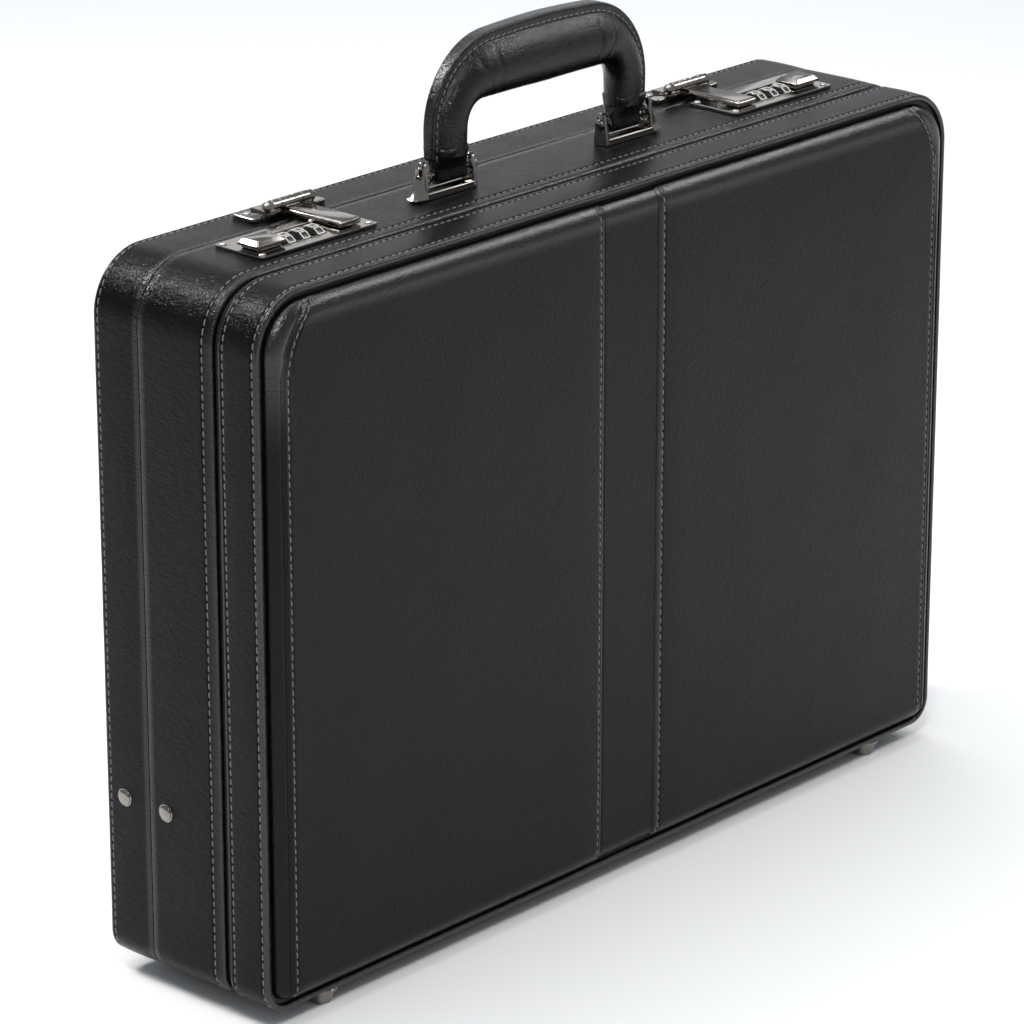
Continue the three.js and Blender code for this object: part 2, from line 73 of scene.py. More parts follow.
band_low, band_high = limits("base_leather_band")
front_low, front_high = limits("front_leather_band")
lid_low, lid_high = limits("lid_leather_band")
pad_low, pad_high = limits("front_pad")
core_low, core_high = limits("front_core")

HALF_WIDTH = band_high[0]
BOTTOM = band_low[2]
TOP = band_high[2]
TOP_RADIUS = 27.0
BOTTOM_RADIUS = 12.0
BASE_FRONT = band_low[1]
PARTING = (band_high[1] + lid_low[1]) / 2
FRONT_MOUTH = front_high[1]
LIP = lid_high[1]
PANEL_FACE = -core_low[1]
PAD_BACK = -pad_high[1]
PAD_FACE = -pad_low[1]
PAD_INSET = pad_low[2] - BOTTOM
FRAME_INSET = core_low[2] - BOTTOM
FRAME_INNER = FRAME_INSET + 5.15

HANDLE_PIN = (limits("handle_pivot_pin_right")[0] + limits("handle_pivot_pin_right")[1]) / 2
HANDLE_X = (limits("handle_grip")[0][0] + limits("handle_grip")[1][0]) / 2
HANDLE_Y = HANDLE_PIN[1]
HANDLE_Z = HANDLE_PIN[2]

STITCH_PITCH = 4.0
CHANNEL_DEPTH = 0.42
SHARP_ANGLE = math.radians(20)
LEATHER_WAVE = 0.10

# ---- Camera, from the photograph's viewing angle ----

CAMERA_AZIMUTH = math.radians(-47.57)
CAMERA_ELEVATION = math.radians(19.97)
CAMERA_DISTANCE = 2216.95
CAMERA_LENS = 171.6
CAMERA_AIM = (-14.31, -3.22)


def add_camera():
    """A long lens, aimed a little to the side of the case's middle."""
    target = Vector((0, 0, (BOTTOM + TOP) / 2))
    back = Vector((
        math.sin(CAMERA_AZIMUTH) * math.cos(CAMERA_ELEVATION),
        -math.cos(CAMERA_AZIMUTH) * math.cos(CAMERA_ELEVATION),
        math.sin(CAMERA_ELEVATION),
    ))
    right = Vector((math.cos(CAMERA_AZIMUTH), math.sin(CAMERA_AZIMUTH), 0))
    up = back.cross(right)
    data = bpy.data.cameras.new("camera")
    data.lens = CAMERA_LENS
    data.sensor_width = 36
    data.clip_start = 0.1
    data.clip_end = 50
    camera = bpy.data.objects.new("camera", data)
    place = target + back * CAMERA_DISTANCE + right * CAMERA_AIM[0] + up * CAMERA_AIM[1]
    turn = Matrix((right, up, back)).transposed().to_4x4()
    camera.matrix_world = Matrix.Translation(place * MM) @ turn
    bpy.context.collection.objects.link(camera)
    bpy.context.scene.camera = camera
    bpy.context.scene.view_settings.view_transform = "Standard"


# ---- Stage and light ----


def add_area_light(name, place, aim, size, power):
    """A soft rectangular light. Its place, aim and size are in metres."""
    data = bpy.data.lights.new(name, "AREA")
    data.shape = "RECTANGLE"
    data.size, data.size_y = size
    data.energy = power
    light = bpy.data.objects.new(name, data)
    direction = Vector(aim) - Vector(place)
    light.matrix_world = (
        Matrix.Translation(place) @ direction.to_track_quat("-Z", "Y").to_matrix().to_4x4()
    )
    bpy.context.collection.objects.link(light)


def add_stage():
    mesh = bpy.data.meshes.new("floor")
    reach = 9.0
    corners = [(-reach, -reach, 0), (reach, -reach, 0), (reach, reach, 0), (-reach, reach, 0)]
    mesh.from_pydata(corners, [], [(0, 1, 2, 3)])
    floor = bpy.data.objects.new("floor", mesh)
    bpy.context.collection.objects.link(floor)
    floor.data.materials.append(pale_floor)
    world = bpy.data.worlds.new("studio")
    world.use_nodes = True
    background = world.node_tree.nodes["Background"]
    background.inputs["Color"].default_value = (0.9, 0.95, 1.0, 1)
    background.inputs["Strength"].default_value = 0.46
    bpy.context.scene.world = world
    add_area_light("overhead", (0.0, 0.6, 2.6), (0, 0.2, 0), (2.6, 2.0), 43)
    add_area_light("behind", (2.1, 1.9, 1.15), (0, 0, 0.3), (1.9, 1.0), 4)
    add_area_light("top_left", (-0.60, 0.95, 1.35), (-0.2, 0, 0.3), (0.24, 0.36), 14)
    add_area_light("front_right", (1.05, -0.58, 1.28), (0.05, 0, 0.3), (1.0, 0.40), 7.5)
    add_area_light("front_left", (-0.86, -0.79, 1.48), (-0.2, 0, 0.3), (0.32, 0.32), 11)


# ---- Materials ----


class Nodes:
    """A small builder for a procedural material."""

    def __init__(self, name):
        self.material = bpy.data.materials.new(name)
        self.material.use_nodes = True
        self.tree = self.material.node_tree
        self.shader = self.tree.nodes["Principled BSDF"]
        self.place = self.add("ShaderNodeTexCoord").outputs["Object"]

    def add(self, kind, **values):
        node = self.tree.nodes.new(kind)
        for key, value in values.items():
            setattr(node, key, value)
        return node

    def link(self, source, target):
        self.tree.links.new(source, target)

    def stretched(self, scale):
        mapping = self.add("ShaderNodeMapping")
        mapping.inputs["Scale"].default_value = scale
        self.link(self.place, mapping.inputs["Vector"])
        return mapping.outputs["Vector"]

    def noise(self, scale, detail=3.0, roughness=0.5, distortion=0.0, vector=None):
        node = self.add("ShaderNodeTexNoise")
        node.inputs["Scale"].default_value = scale
        node.inputs["Detail"].default_value = detail
        node.inputs["Roughness"].default_value = roughness
        node.inputs["Distortion"].default_value = distortion
        self.link(vector or self.place, node.inputs["Vector"])
        return node.outputs["Fac"]

    def cells(self, scale):
        node = self.add("ShaderNodeTexVoronoi", feature="DISTANCE_TO_EDGE")
        node.inputs["Scale"].default_value = scale
        self.link(self.place, node.inputs["Vector"])
        return node.outputs["Distance"]

    def ramp(self, factor, *stops):
        node = self.add("ShaderNodeValToRGB")
        ramp = node.color_ramp
        while len(ramp.elements) < len(stops):
            ramp.elements.new(0.5)
        for element, (position, color) in zip(ramp.elements, stops):
            element.position = position
            element.color = (*color, 1)
        self.link(factor, node.inputs["Fac"])
        return node.outputs["Color"]

    def span(self, factor, low, high, start=0.0, end=1.0):
        node = self.add("ShaderNodeMapRange")
        node.inputs["From Min"].default_value = start
        node.inputs["From Max"].default_value = end
        node.inputs["To Min"].default_value = low
        node.inputs["To Max"].default_value = high
        self.link(factor, node.inputs["Value"])
        return node.outputs["Result"]

    def bump(self, height, strength, distance, normal=None):
        node = self.add("ShaderNodeBump")
        node.inputs["Strength"].default_value = strength
        node.inputs["Distance"].default_value = distance
        self.link(height, node.inputs["Height"])
        if normal is not None:
            self.link(normal, node.inputs["Normal"])
        return node.outputs["Normal"]

    def set(self, **values):
        for key, value in values.items():
            self.shader.inputs[key.replace("_", " ")].default_value = value

    def connect(self, **sources):
        for key, source in sources.items():
            self.link(source, self.shader.inputs[key.replace("_", " ")])


POLISH_SMOOTHS = 0.12    # how much less rough the worn leather is
POLISH_SHINES = 0.5      # and how much more it reflects


def mottled_material(name, pattern, dark, light, rough=None, bump=None, stretch=None, **settings):
    """A surface whose tint, roughness and relief all follow one noise pattern."""
    n = Nodes(name)
    shade = n.noise(*pattern, vector=n.stretched(stretch) if stretch else None)
    n.connect(Base_Color=n.ramp(shade, (0.3, dark), (0.7, light)))
    if rough:
        n.connect(Roughness=n.span(shade, *rough))
    if bump:
        n.connect(Normal=n.bump(shade, *bump))
    n.set(**settings)
    return n.material


def leather_material(name, dark, light, rough, grain=1.0, wave=1.0, gloss=0.3):
    """Grained black leather: fine pores, short creases, a slow wave and uneven shine."""
    n = Nodes(name)
    pores = n.cells(1150)
    creases = n.noise(620, 3, 0.55, 0.5, n.stretched((1, 0.4, 1)))
    slow = n.noise(26, 2, 0.4)
    patches = n.noise(9, 3, 0.55)
    tone = n.ramp(patches, (0.3, dark), (0.72, light))
    polish = n.add("ShaderNodeAttribute", attribute_name="polish").outputs["Fac"]
    pore_shade = n.ramp(pores, (0.0, (0.55, 0.55, 0.55)), (0.12, (1, 1, 1)))
    mix = n.add("ShaderNodeMix", data_type="RGBA", blend_type="MULTIPLY")
    mix.inputs["Factor"].default_value = 1
    n.link(tone, mix.inputs["A"])
    n.link(pore_shade, mix.inputs["B"])
    normal = n.bump(slow, 0.5 * wave, 0.0012)
    normal = n.bump(creases, 0.55 * grain, 0.0004, normal)
    normal = n.bump(n.span(pores, 0, 1, 0, 0.16), 0.3 * grain, 0.00016, normal)
    shine = n.noise(60, 4, 0.6)
    rub = n.add("ShaderNodeMath", operation="MULTIPLY_ADD")
    n.link(polish, rub.inputs[0])
    rub.inputs[1].default_value = -POLISH_SMOOTHS
    n.link(n.span(shine, rough - 0.05, rough + 0.07, 0.3, 0.7), rub.inputs[2])
    n.connect(
        Base_Color=mix.outputs["Result"],
        Roughness=rub.outputs["Value"],
        Specular_IOR_Level=n.span(polish, gloss, gloss + POLISH_SHINES),
        Normal=normal,
    )
    return n.material


def metal_material(name, dark, light, rough, scratch=0.15):
    """Plated metal with a faint cloud in its tint, fine scratches and uneven polish."""
    n = Nodes(name)
    cloud = n.noise(90, 4, 0.55)
    fine = n.noise(1800, 3, 0.7, 0, n.stretched((0.12, 1, 1)))
    n.connect(
        Base_Color=n.ramp(cloud, (0.3, dark), (0.75, light)),
        Roughness=n.span(cloud, rough - 0.05, rough + 0.08, 0.3, 0.75),
        Normal=n.bump(fine, scratch, 0.00008),
    )
    n.set(Metallic=1.0)
    return n.material


def weave_material(name, dark, light, pitch):
    """Plain woven cloth: two crossed sets of threads."""
    n = Nodes(name)
    waves = []
    for direction in ("X", "Z"):
        wave = n.add("ShaderNodeTexWave", wave_type="BANDS", bands_direction=direction)
        wave.inputs["Scale"].default_value = 0.314 / (pitch * MM)
        wave.inputs["Distortion"].default_value = 0.6
        wave.inputs["Detail Scale"].default_value = 40
        n.link(n.place, wave.inputs["Vector"])
        waves.append(wave.outputs["Fac"])
    cross = n.add("ShaderNodeMath", operation="MULTIPLY")
    n.link(waves[0], cross.inputs[0])
    n.link(waves[1], cross.inputs[1])
    height = cross.outputs["Value"]
    fuzz = n.noise(35, 4, 0.6)
    lit = n.add("ShaderNodeMath", operation="MULTIPLY_ADD")
    n.link(fuzz, lit.inputs[0])
    lit.inputs[1].default_value = 0.5
    n.link(height, lit.inputs[2])
    n.connect(
        Base_Color=n.ramp(lit.outputs["Value"], (0.2, dark), (1.0, light)),
        Normal=n.bump(height, 0.5, 0.0003),
        Roughness=n.span(fuzz, 0.75, 0.95),
    )
    n.set(Sheen_Weight=0.3, Sheen_Roughness=0.5)
    return n.material


leather = leather_material(
    "band_leather", (0.0012, 0.0012, 0.0016), (0.0028, 0.0028, 0.0033), 0.20,
    grain=1.1, wave=0.45, gloss=0.095,
)
pad_leather = leather_material(
    "pad_leather", (0.0016, 0.0017, 0.0021), (0.0034, 0.0034, 0.0034), 0.26,
    grain=0.8, wave=0.2, gloss=0.16,
)
grip_leather = leather_material(
    "grip_leather", (0.0014, 0.0014, 0.0019), (0.0030, 0.0030, 0.0036), 0.13,
    grain=1.1, wave=0.7, gloss=0.42,
)
gusset_leather = leather_material("gusset_leather", (0.002, 0.002, 0.0025), (0.004, 0.004, 0.0045), 0.5)
thread = mottled_material(
    "thread", (2600, 2, 0.6), (0.03, 0.03, 0.032), (0.20, 0.20, 0.205), (0.25, 0.45), (0.5, 0.0002),
    Specular_IOR_Level=0.7,
)
nickel = metal_material("dark_nickel", (0.19, 0.175, 0.16), (0.31, 0.285, 0.26), 0.13)
steel = metal_material("plated_steel", (0.42, 0.41, 0.39), (0.58, 0.56, 0.53), 0.28, 0.3)
dark_metal = metal_material("dark_metal", (0.06, 0.06, 0.06), (0.12, 0.115, 0.11), 0.34, 0.25)
lining = weave_material("lining_cloth", (0.012, 0.012, 0.016), (0.045, 0.045, 0.055), 0.9)
board = mottled_material(
    "stained_board", (120, 5, 0.6, 0.8), (0.012, 0.011, 0.011), (0.03, 0.026, 0.024), (0.5, 0.75),
    (0.3, 0.0003), stretch=(0.1, 1, 1),
)
dial_black = mottled_material(
    "dial_black", (700, 3, 0.6), (0.008, 0.008, 0.009), (0.02, 0.02, 0.021), (0.2, 0.38), (0.15, 0.0001),
)
white_paint = mottled_material(
    "white_paint", (900, 3, 0.6), (0.55, 0.54, 0.5), (0.75, 0.74, 0.7), (0.35, 0.5),
)
pale_floor = mottled_material(
    "pale_floor", (0.8, 2), (0.86, 0.86, 0.86), (0.9, 0.9, 0.9), Roughness=0.9, Specular_IOR_Level=0.1,
)

# ---- Mesh helpers ----


def new_object(name, mesh, material, smooth=True):
    mesh.materials.append(material)
    if smooth:
        mesh.polygons.foreach_set("use_smooth", [True] * len(mesh.polygons))
    piece = bpy.data.objects.new(name, mesh)
    bpy.context.collection.objects.link(piece)
    return piece


def place_piece(piece, body, slot, *nodes):
    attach(piece, body)
    if nodes:
        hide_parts(*nodes)
    return piece


def mesh_from(name, points, faces):
    """A mesh from points in millimetres, with its faces turned outward."""
    mesh = bpy.data.meshes.new(name)
    mesh.from_pydata([tuple(p) for p in np.asarray(points, float) * MM], [], faces)
    bm = bmesh.new()
    bm.from_mesh(mesh)
    bmesh.ops.remove_doubles(bm, verts=bm.verts, dist=0.002 * MM)
    bmesh.ops.recalc_face_normals(bm, faces=bm.faces)
    bm.to_mesh(mesh)
    bm.free()
    return mesh


def ring_faces(rows, columns, wrapped=False, end_cap=True):
    """Faces over closed rings of points. The ends are capped unless the last ring joins the first."""
    faces = []
    for i in range(rows if wrapped else rows - 1):
        for j in range(columns):
            a = i * columns
            b = (i + 1) % rows * columns
            after = (j + 1) % columns
            faces.append((a + j, a + after, b + after, b + j))
    if not wrapped:
        faces.append(tuple(range(columns)))
        if end_cap:
            faces.append(tuple(range((rows - 1) * columns, rows * columns)))
    return faces


def loft(name, rings, wrapped=False, end_cap=True):
    """A skin over closed rings of points."""
    points = np.concatenate([np.asarray(ring, float) for ring in rings])
    return mesh_from(name, points, ring_faces(len(rings), len(rings[0]), wrapped, end_cap))


def set_polish(piece, amount):
    """Stores how worn and shiny the leather is at each point, from 0 to 1."""
    values = [amount(*(vertex.co / MM)) for vertex in piece.data.vertices]
    attribute = piece.data.attributes.new("polish", "FLOAT", "POINT")
    attribute.data.foreach_set("value", values)


def apply_modifiers(piece):
    graph = bpy.context.evaluated_depsgraph_get()
    mesh = bpy.data.meshes.new_from_object(piece.evaluated_get(graph))
    old = piece.data
    piece.modifiers.clear()
    piece.data = mesh
    bpy.data.meshes.remove(old)
    return piece


def bevelled(piece, width, segments=3, angle=30):
    """Rounds a piece's sharp edges, in millimetres."""
    modifier = piece.modifiers.new("bevel", "BEVEL")
    modifier.width = width * MM
    modifier.segments = segments
    modifier.limit_method = "ANGLE"
    modifier.angle_limit = math.radians(angle)
    modifier.harden_normals = True
    return apply_modifiers(piece)


def prism(name, outline, low, high, axis, material=nickel):
    """A solid with a flat outline, extruded along an axis: 0 is X, 1 is Y and 2 is Z.

    The outline holds the other two coordinates in X, Y, Z order."""
    count = len(outline)
    others = [k for k in range(3) if k != axis]
    points = np.zeros((2 * count, 3))
    points[:count, others] = outline
    points[count:, others] = outline
    points[:count, axis] = low
    points[count:, axis] = high
    faces = [tuple(range(count)), tuple(range(count, 2 * count))]
    faces += [(i, (i + 1) % count, count + (i + 1) % count, count + i) for i in range(count)]
    mesh = mesh_from(name, points, faces)
    return new_object(name, mesh, material)


def box(name, low, high, material=nickel):
    outline = [(low[0], low[1]), (high[0], low[1]), (high[0], high[1]), (low[0], high[1])]
    return prism(name, outline, low[2], high[2], 2, material)


def arc(center, radius, start, end, steps):
    """Points on an arc, with its angles in degrees."""
    angles = np.radians(np.linspace(start, end, steps + 1))
    return [(center[0] + radius * math.cos(a), center[1] + radius * math.sin(a)) for a in angles]


def rounded_rectangle(x0, x1, y0, y1, radius, steps=6):
    points = []
    corners = [(x1, y1, 0), (x0, y1, 90), (x0, y0, 180), (x1, y0, 270)]
    for x, y, start in corners:
        center_x = x - math.copysign(radius, x - (x0 + x1) / 2)
        center_y = y - math.copysign(radius, y - (y0 + y1) / 2)
        points += arc((center_x, center_y), radius, start, start + 90, steps)
    return points


def turned(name, profile, center, axis, material=nickel, steps=32, wrapped=False):
    """A turned solid. The profile holds (radius, height) pairs, and height runs along the axis.

    A wrapped profile joins its last pair to its first, as a ring or a tube does."""
    others = [k for k in range(3) if k != axis]
    angles = np.linspace(0, 2 * math.pi, steps, endpoint=False)
    rings = []
    for radius, height in profile:
        ring = np.zeros((steps, 3))
        ring[:, others[0]] = center[others[0]] + radius * np.cos(angles)
        ring[:, others[1]] = center[others[1]] + radius * np.sin(angles)
        ring[:, axis] = center[axis] + height
        rings.append(ring)
    piece = new_object(name, loft(name, rings, wrapped), material)
    piece.data.set_sharp_from_angle(angle=SHARP_ANGLE)
    return piece


def joined(name, pieces):
    """One object out of several, keeping their materials."""
    bm = bmesh.new()
    materials = []
    for piece in pieces:
        part = piece.data.copy()
        for polygon in part.polygons:
            material = piece.data.materials[polygon.material_index]
            if material not in materials:
                materials.append(material)
            polygon.material_index = materials.index(material)
        bm.from_mesh(part)
        bpy.data.meshes.remove(part)
    mesh = bpy.data.meshes.new(name)
    bm.to_mesh(mesh)
    bm.free()
    for material in materials:
        mesh.materials.append(material)
    mesh.set_sharp_from_angle(angle=SHARP_ANGLE)
    for piece in pieces:
        bpy.data.objects.remove(piece)
    result = bpy.data.objects.new(name, mesh)
    bpy.context.collection.objects.link(result)
    return result


def cut_away(piece, cutters):
    for cutter in cutters:
        modifier = piece.modifiers.new("cut", "BOOLEAN")
        modifier.operation = "DIFFERENCE"
        modifier.solver = "EXACT"
        modifier.object = cutter
    apply_modifiers(piece)
    for cutter in cutters:
        bpy.data.objects.remove(cutter)
    return piece


def mirrored(piece, side, middle=0.0):
    """Moves a piece built on the right to the left when the side is -1."""
    if side < 0:
        flip = Matrix.Diagonal((-1, 1, 1, 1))
        flip.translation.x = 2 * middle * MM
        piece.data.transform(flip)
        piece.data.flip_normals()
    return piece


def side_name(side):
    return "right" if side > 0 else "left"


def fit_hardware(name, parts, side, body, *nodes, middle=0.0):
    """Joins parts built on the right, moves them to their side and puts them on a body."""
    piece = mirrored(joined(name, parts), side, middle)
    return place_piece(piece, body, "hardware", *nodes)


# ---- The case outline ----


def outline_parts(inset):
    """The outline's half width, bottom, top, and top and bottom corner radii, at an inset."""
    half = HALF_WIDTH - inset
    low, high = BOTTOM + inset, TOP - inset
    top = max(TOP_RADIUS - inset, 0.0)
    bottom = max(BOTTOM_RADIUS - inset, 0.0)
    return half, low, high, top, bottom


def outline_path(step=7.0):
    """Points on the outline with outward normals, as two arrays of (x, z), counter-clockwise."""
    half, low, high, top, bottom = outline_parts(0)
    points, normals = [], []

    def straight(start, end, normal):
        count = max(2, int(math.dist(start, end) / step))
        for t in np.linspace(0, 1, count, endpoint=False):
            points.append((start[0] + (end[0] - start[0]) * t, start[1] + (end[1] - start[1]) * t))
            normals.append(normal)

    def corner(center, radius, start, steps):
        for a in np.radians(np.linspace(start, start + 90, steps, endpoint=False)):
            normals.append((math.cos(a), math.sin(a)))
            points.append((center[0] + radius * math.cos(a), center[1] + radius * math.sin(a)))

    straight((-half + bottom, low), (half - bottom, low), (0, -1))
    corner((half - bottom, low + bottom), bottom, 270, 10)
    straight((half, low + bottom), (half, high - top), (1, 0))
    corner((half - top, high - top), top, 0, 28)
    straight((half - top, high), (-half + top, high), (0, 1))
    corner((-half + top, high - top), top, 90, 28)
    straight((-half, high - top), (-half, low + bottom), (-1, 0))
    corner((-half + bottom, low + bottom), bottom, 180, 10)
    return np.array(points), np.array(normals)


def outline_ring(path, normals, inset, y):
    """The outline drawn in by an inset, as points at a depth."""
    inner = path - normals * inset
    return np.column_stack([inner[:, 0], np.full(len(path), y), inner[:, 1]])


def band(name, profile, body, node):
    """A leather band: a closed profile of (inset, y) pairs carried round the outline."""
    path, normals = outline_path()
    rings = []
    for inset, y in profile:
        ring = outline_ring(path, normals, inset, y)
        if inset < 1.0:
            for k, point in enumerate(ring):
                swell = noise.noise(Vector(point / 22.0)) + 0.4 * noise.noise(Vector(point / 7.0))
                ring[k, [0, 2]] += normals[k] * LEATHER_WAVE * swell
        rings.append(ring)
    piece = new_object(name, loft(name, rings, wrapped=True), leather)
    outer = [y for inset, y in profile if inset < 1.5]
    edges = (min(outer), max(outer))
    set_polish(piece, lambda x, y, z: max(math.exp(-(((y - edge) / 1.6) ** 2)) for edge in edges))
    return place_piece(piece, body, "leather", node)


def outer_face(y_start, y_end, roll_start, roll_end, stitches, crown=0.25):
    """The outside of a band from one edge to the other, with rolled edges and stitched channels."""
    side = math.copysign(1, y_end - y_start)
    points = []
    for a in np.radians(np.linspace(0, 90, 7)):
        y = y_start + side * roll_start * (1 - math.cos(a))
        points.append((roll_start * (1 - math.sin(a)), y))
    first, last = y_start + side * roll_start, y_end - side * roll_end
    places = set(np.linspace(first, last, 14)[1:-1])
    for stitch in stitches:
        places.update(stitch + offset for offset in np.linspace(-1.3, 1.3, 9))
    span = sorted(p for p in places if min(first, last) < p < max(first, last))
    for y in span if side > 0 else reversed(span):
        t = (y - first) / (last - first)
        inset = -crown * math.sin(math.pi * t)
        for stitch in stitches:
            inset += channel(y - stitch)
        points.append((inset, y))
    for a in np.radians(np.linspace(90, 0, 7)):
        points.append((roll_end * (1 - math.sin(a)), y_end - side * roll_end * (1 - math.cos(a))))
    return points


def channel(offset, depth=CHANNEL_DEPTH, width=0.55):
    """How deep a line of stitches pulls the leather in."""
    return depth * math.exp(-((offset / width) ** 2))


# ---- Stitches ----

STITCH_ROWS = 7
STITCH_SIDES = 6


def stitch_line(name, points, normals, body, slot="leather", pitch=STITCH_PITCH, closed=False):
    """Short lengths of thread laid along a line on a surface."""
    points = np.asarray(points, float)
    normals = np.asarray(normals, float)
    if closed:
        points = np.vstack([points, points[:1]])
        normals = np.vstack([normals, normals[:1]])
    lengths = np.linalg.norm(np.diff(points, axis=0), axis=1)
    along = np.concatenate([[0], np.cumsum(lengths)])

    def value_at(values, place):
        return np.array([np.interp(place, along, values[:, i]) for i in range(3)])

    count = int(along[-1] / pitch)
    vertices, faces = [], []
    stitch_faces = ring_faces(STITCH_ROWS, STITCH_SIDES)
    for k in range(count):
        middle = (k + 0.5) * along[-1] / count
        up = value_at(normals, middle)
        up /= np.linalg.norm(up)
        forward = value_at(points, middle + 0.8) - value_at(points, middle - 0.8)
        forward /= np.linalg.norm(forward)
        across = np.cross(up, forward)
        slant = 0.10 if k % 2 else 0.075
        start = len(vertices)
        vertices += one_stitch(value_at(points, middle), forward + across * slant, up, across, pitch)
        faces += [tuple(start + i for i in face) for face in stitch_faces]
    return place_piece(new_object(name, mesh_from(name, vertices, faces), thread), body, slot)


def one_stitch(spot, forward, up, across, pitch):
    """A bowed length of thread with tapered ends, as rings of points."""
    half = pitch * 0.39
    radius = 0.37
    points = []
    for t in np.linspace(-1, 1, STITCH_ROWS):
        size = radius * math.sqrt(max(1 - t ** 4, 0.02))
        height = 0.05 + 0.16 * (1 - t * t)
        for a in np.linspace(0, 2 * math.pi, STITCH_SIDES, endpoint=False):
            rise = up * (height + size * 0.8 * math.sin(a))
            points.append(spot + forward * (half * t) + rise + across * (size * math.cos(a)))
    return points


def band_stitches(name, y, body):
    path, normals = outline_path(3.0)
    outward = np.column_stack([normals[:, 0], np.zeros(len(path)), normals[:, 1]])
    stitch_line(name, outline_ring(path, normals, CHANNEL_DEPTH, y), outward, body, closed=True)


# ---- Leather bands ----

SKIN = 0.09              # how far the leather stands past its CAD band at the groove
MOUTH_ROLL = 2.0         # rolled edges at the groove
PARTING_ROLL = 1.3       # and where the lid meets the base
LID_STITCH = LIP - 2.6
BASE_STITCH = BASE_FRONT + 5.4
FRONT_STITCH_BACK = FRONT_MOUTH - 3.6
FRONT_STITCH_LIP = -LIP + 2.6


def add_bands():
    under = FRAME_INSET - 0.08
    base_front, base_back = BASE_FRONT - SKIN, PARTING - 0.02
    profile = [(FRAME_INNER, base_front + 0.04), (FRAME_INNER, base_front)]
    profile += outer_face(base_front, base_back, MOUTH_ROLL, PARTING_ROLL, [BASE_STITCH])
    profile += [(FRAME_INNER, base_back), (FRAME_INNER, base_back - 0.04), (under, base_back - 0.1)]
    profile += [(under, base_front + 0.1)]
    piece = band("base_leather", profile, "base", "base_leather_band")
    cut_away(piece, [pocket_cutter(side) for side in (-1, 1)])
    lip_inner = PAD_INSET - 1.5
    for name, body, side, edge, roll, stitches in (
        ("front", "front_shell", -1, FRONT_MOUTH + SKIN, MOUTH_ROLL, [FRONT_STITCH_BACK, FRONT_STITCH_LIP]),
        ("lid", "lid", 1, PARTING + 0.02, PARTING_ROLL, [LID_STITCH]),
    ):
        panel = side * (PANEL_FACE + 0.05)
        profile = [(FRAME_INNER, edge + side * 0.04), (FRAME_INNER, edge)]
        profile += outer_face(edge, side * LIP, roll, 1.1, stitches)
        profile += [(lip_inner - 0.4, side * LIP), (lip_inner, side * (LIP - 0.5))]
        profile += [(lip_inner, panel), (under, panel), (under, edge + side * 0.1)]
        band(f"{name}_leather", profile, body, f"{name}_leather_band")
    band_stitches("base_stitches", BASE_STITCH, "base")
    band_stitches("front_stitches_back", FRONT_STITCH_BACK, "front_shell")
    band_stitches("front_stitches_lip", FRONT_STITCH_LIP, "front_shell")
    band_stitches("lid_stitches", LID_STITCH, "lid")


def pocket_cutter(side):
    low, high = limits(f"lock_case_{side_name(side)}")
    margin = 0.25
    pocket_low = (low[0] - margin, low[1] - margin, low[2] - 3)
    return box("pocket", pocket_low, (high[0] + margin, high[1] + margin, TOP + 4), leather)


def add_gusset():
    """A pleated strip of thin leather that fills the groove, built in one fixed shape that does not open
    out as the shell slides.
    """
    y_base, y_front = BASE_FRONT - 0.12, FRONT_MOUTH + 0.12
    pleats = 5
    shallow, deep = 2.6, 7.2
    outside = []
    for k in range(2 * pleats + 1):
        y = y_base + (y_front - y_base) * k / (2 * pleats)
        outside.append((shallow if k % 2 else deep, y))
    inside = [(inset + 0.22, y) for inset, y in reversed(outside)]
    path, normals = outline_path()
    rings = [outline_ring(path, normals, inset, y) for inset, y in outside + inside]
    piece = new_object("gusset", loft("gusset", rings, wrapped=True), gusset_leather)
    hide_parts("expansion_gusset")
    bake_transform(piece)


# ---- Padded panels ----

PAD_ROLL = 8.0                # width of the pad's rolled edge
STRAP_HALF = 18.5             # centre strap
SEAM_X = 217.0                # straight part of the end seams
SEAM_BEND_Z = TOP - 40.0      # where an end seam starts to curve inward
SEAM_REACH = 19.0             # how far it has come in at the top edge
STITCH_INSET = 2.5            # from a turned edge to its stitches


def seam_x(z):
    """Distance of the end seam from the middle of the case at a height."""
    rise = min(max((z - SEAM_BEND_Z) / (TOP - 3 - SEAM_BEND_Z), 0.0), 1.0)
    return SEAM_X - SEAM_REACH * rise ** 2.2


def seam_offset(x, z):
    """How far a point lies on the inner side of the end seam, square to the seam."""
    slope = (seam_x(z + 0.5) - seam_x(z - 0.5))
    return (seam_x(z) - abs(x)) / math.sqrt(1 + slope * slope)


def smooth(value, start, end):
    t = min(max((value - start) / (end - start), 0.0), 1.0)
    return t * t * (3 - 2 * t)


def pad_relief(x, z, inset):
    """How far the pad's surface stands back from its full height at a point."""
    side = abs(x)
    strap = 1 - smooth(side, STRAP_HALF - 0.2, STRAP_HALF + 1.0)
    relief = 1.1 * strap
    relief += 0.5 * math.exp(-(((side - STRAP_HALF + 0.35) / 0.5) ** 2))
    relief += channel(side - STRAP_HALF - STITCH_INSET, 0.45, 0.6)
    relief += 0.3 * (1 - strap) * (1 - smooth(side, STRAP_HALF, STRAP_HALF + 12))
    offset = seam_offset(x, z)
    strip = 1 - smooth(offset, -0.3, 0.9)
    relief += 0.55 * strip
    relief += 0.9 * math.exp(-(((offset + 0.5) / 0.75) ** 2))
    relief += channel(offset - STITCH_INSET, 0.4, 0.6)
    relief += 0.3 * (1 - smooth(inset, PAD_ROLL, PAD_ROLL + 40))
    wave = noise.noise(Vector((x / 34, 0.3, z / 40)))
    relief += 0.14 * (1 + wave)
    return relief


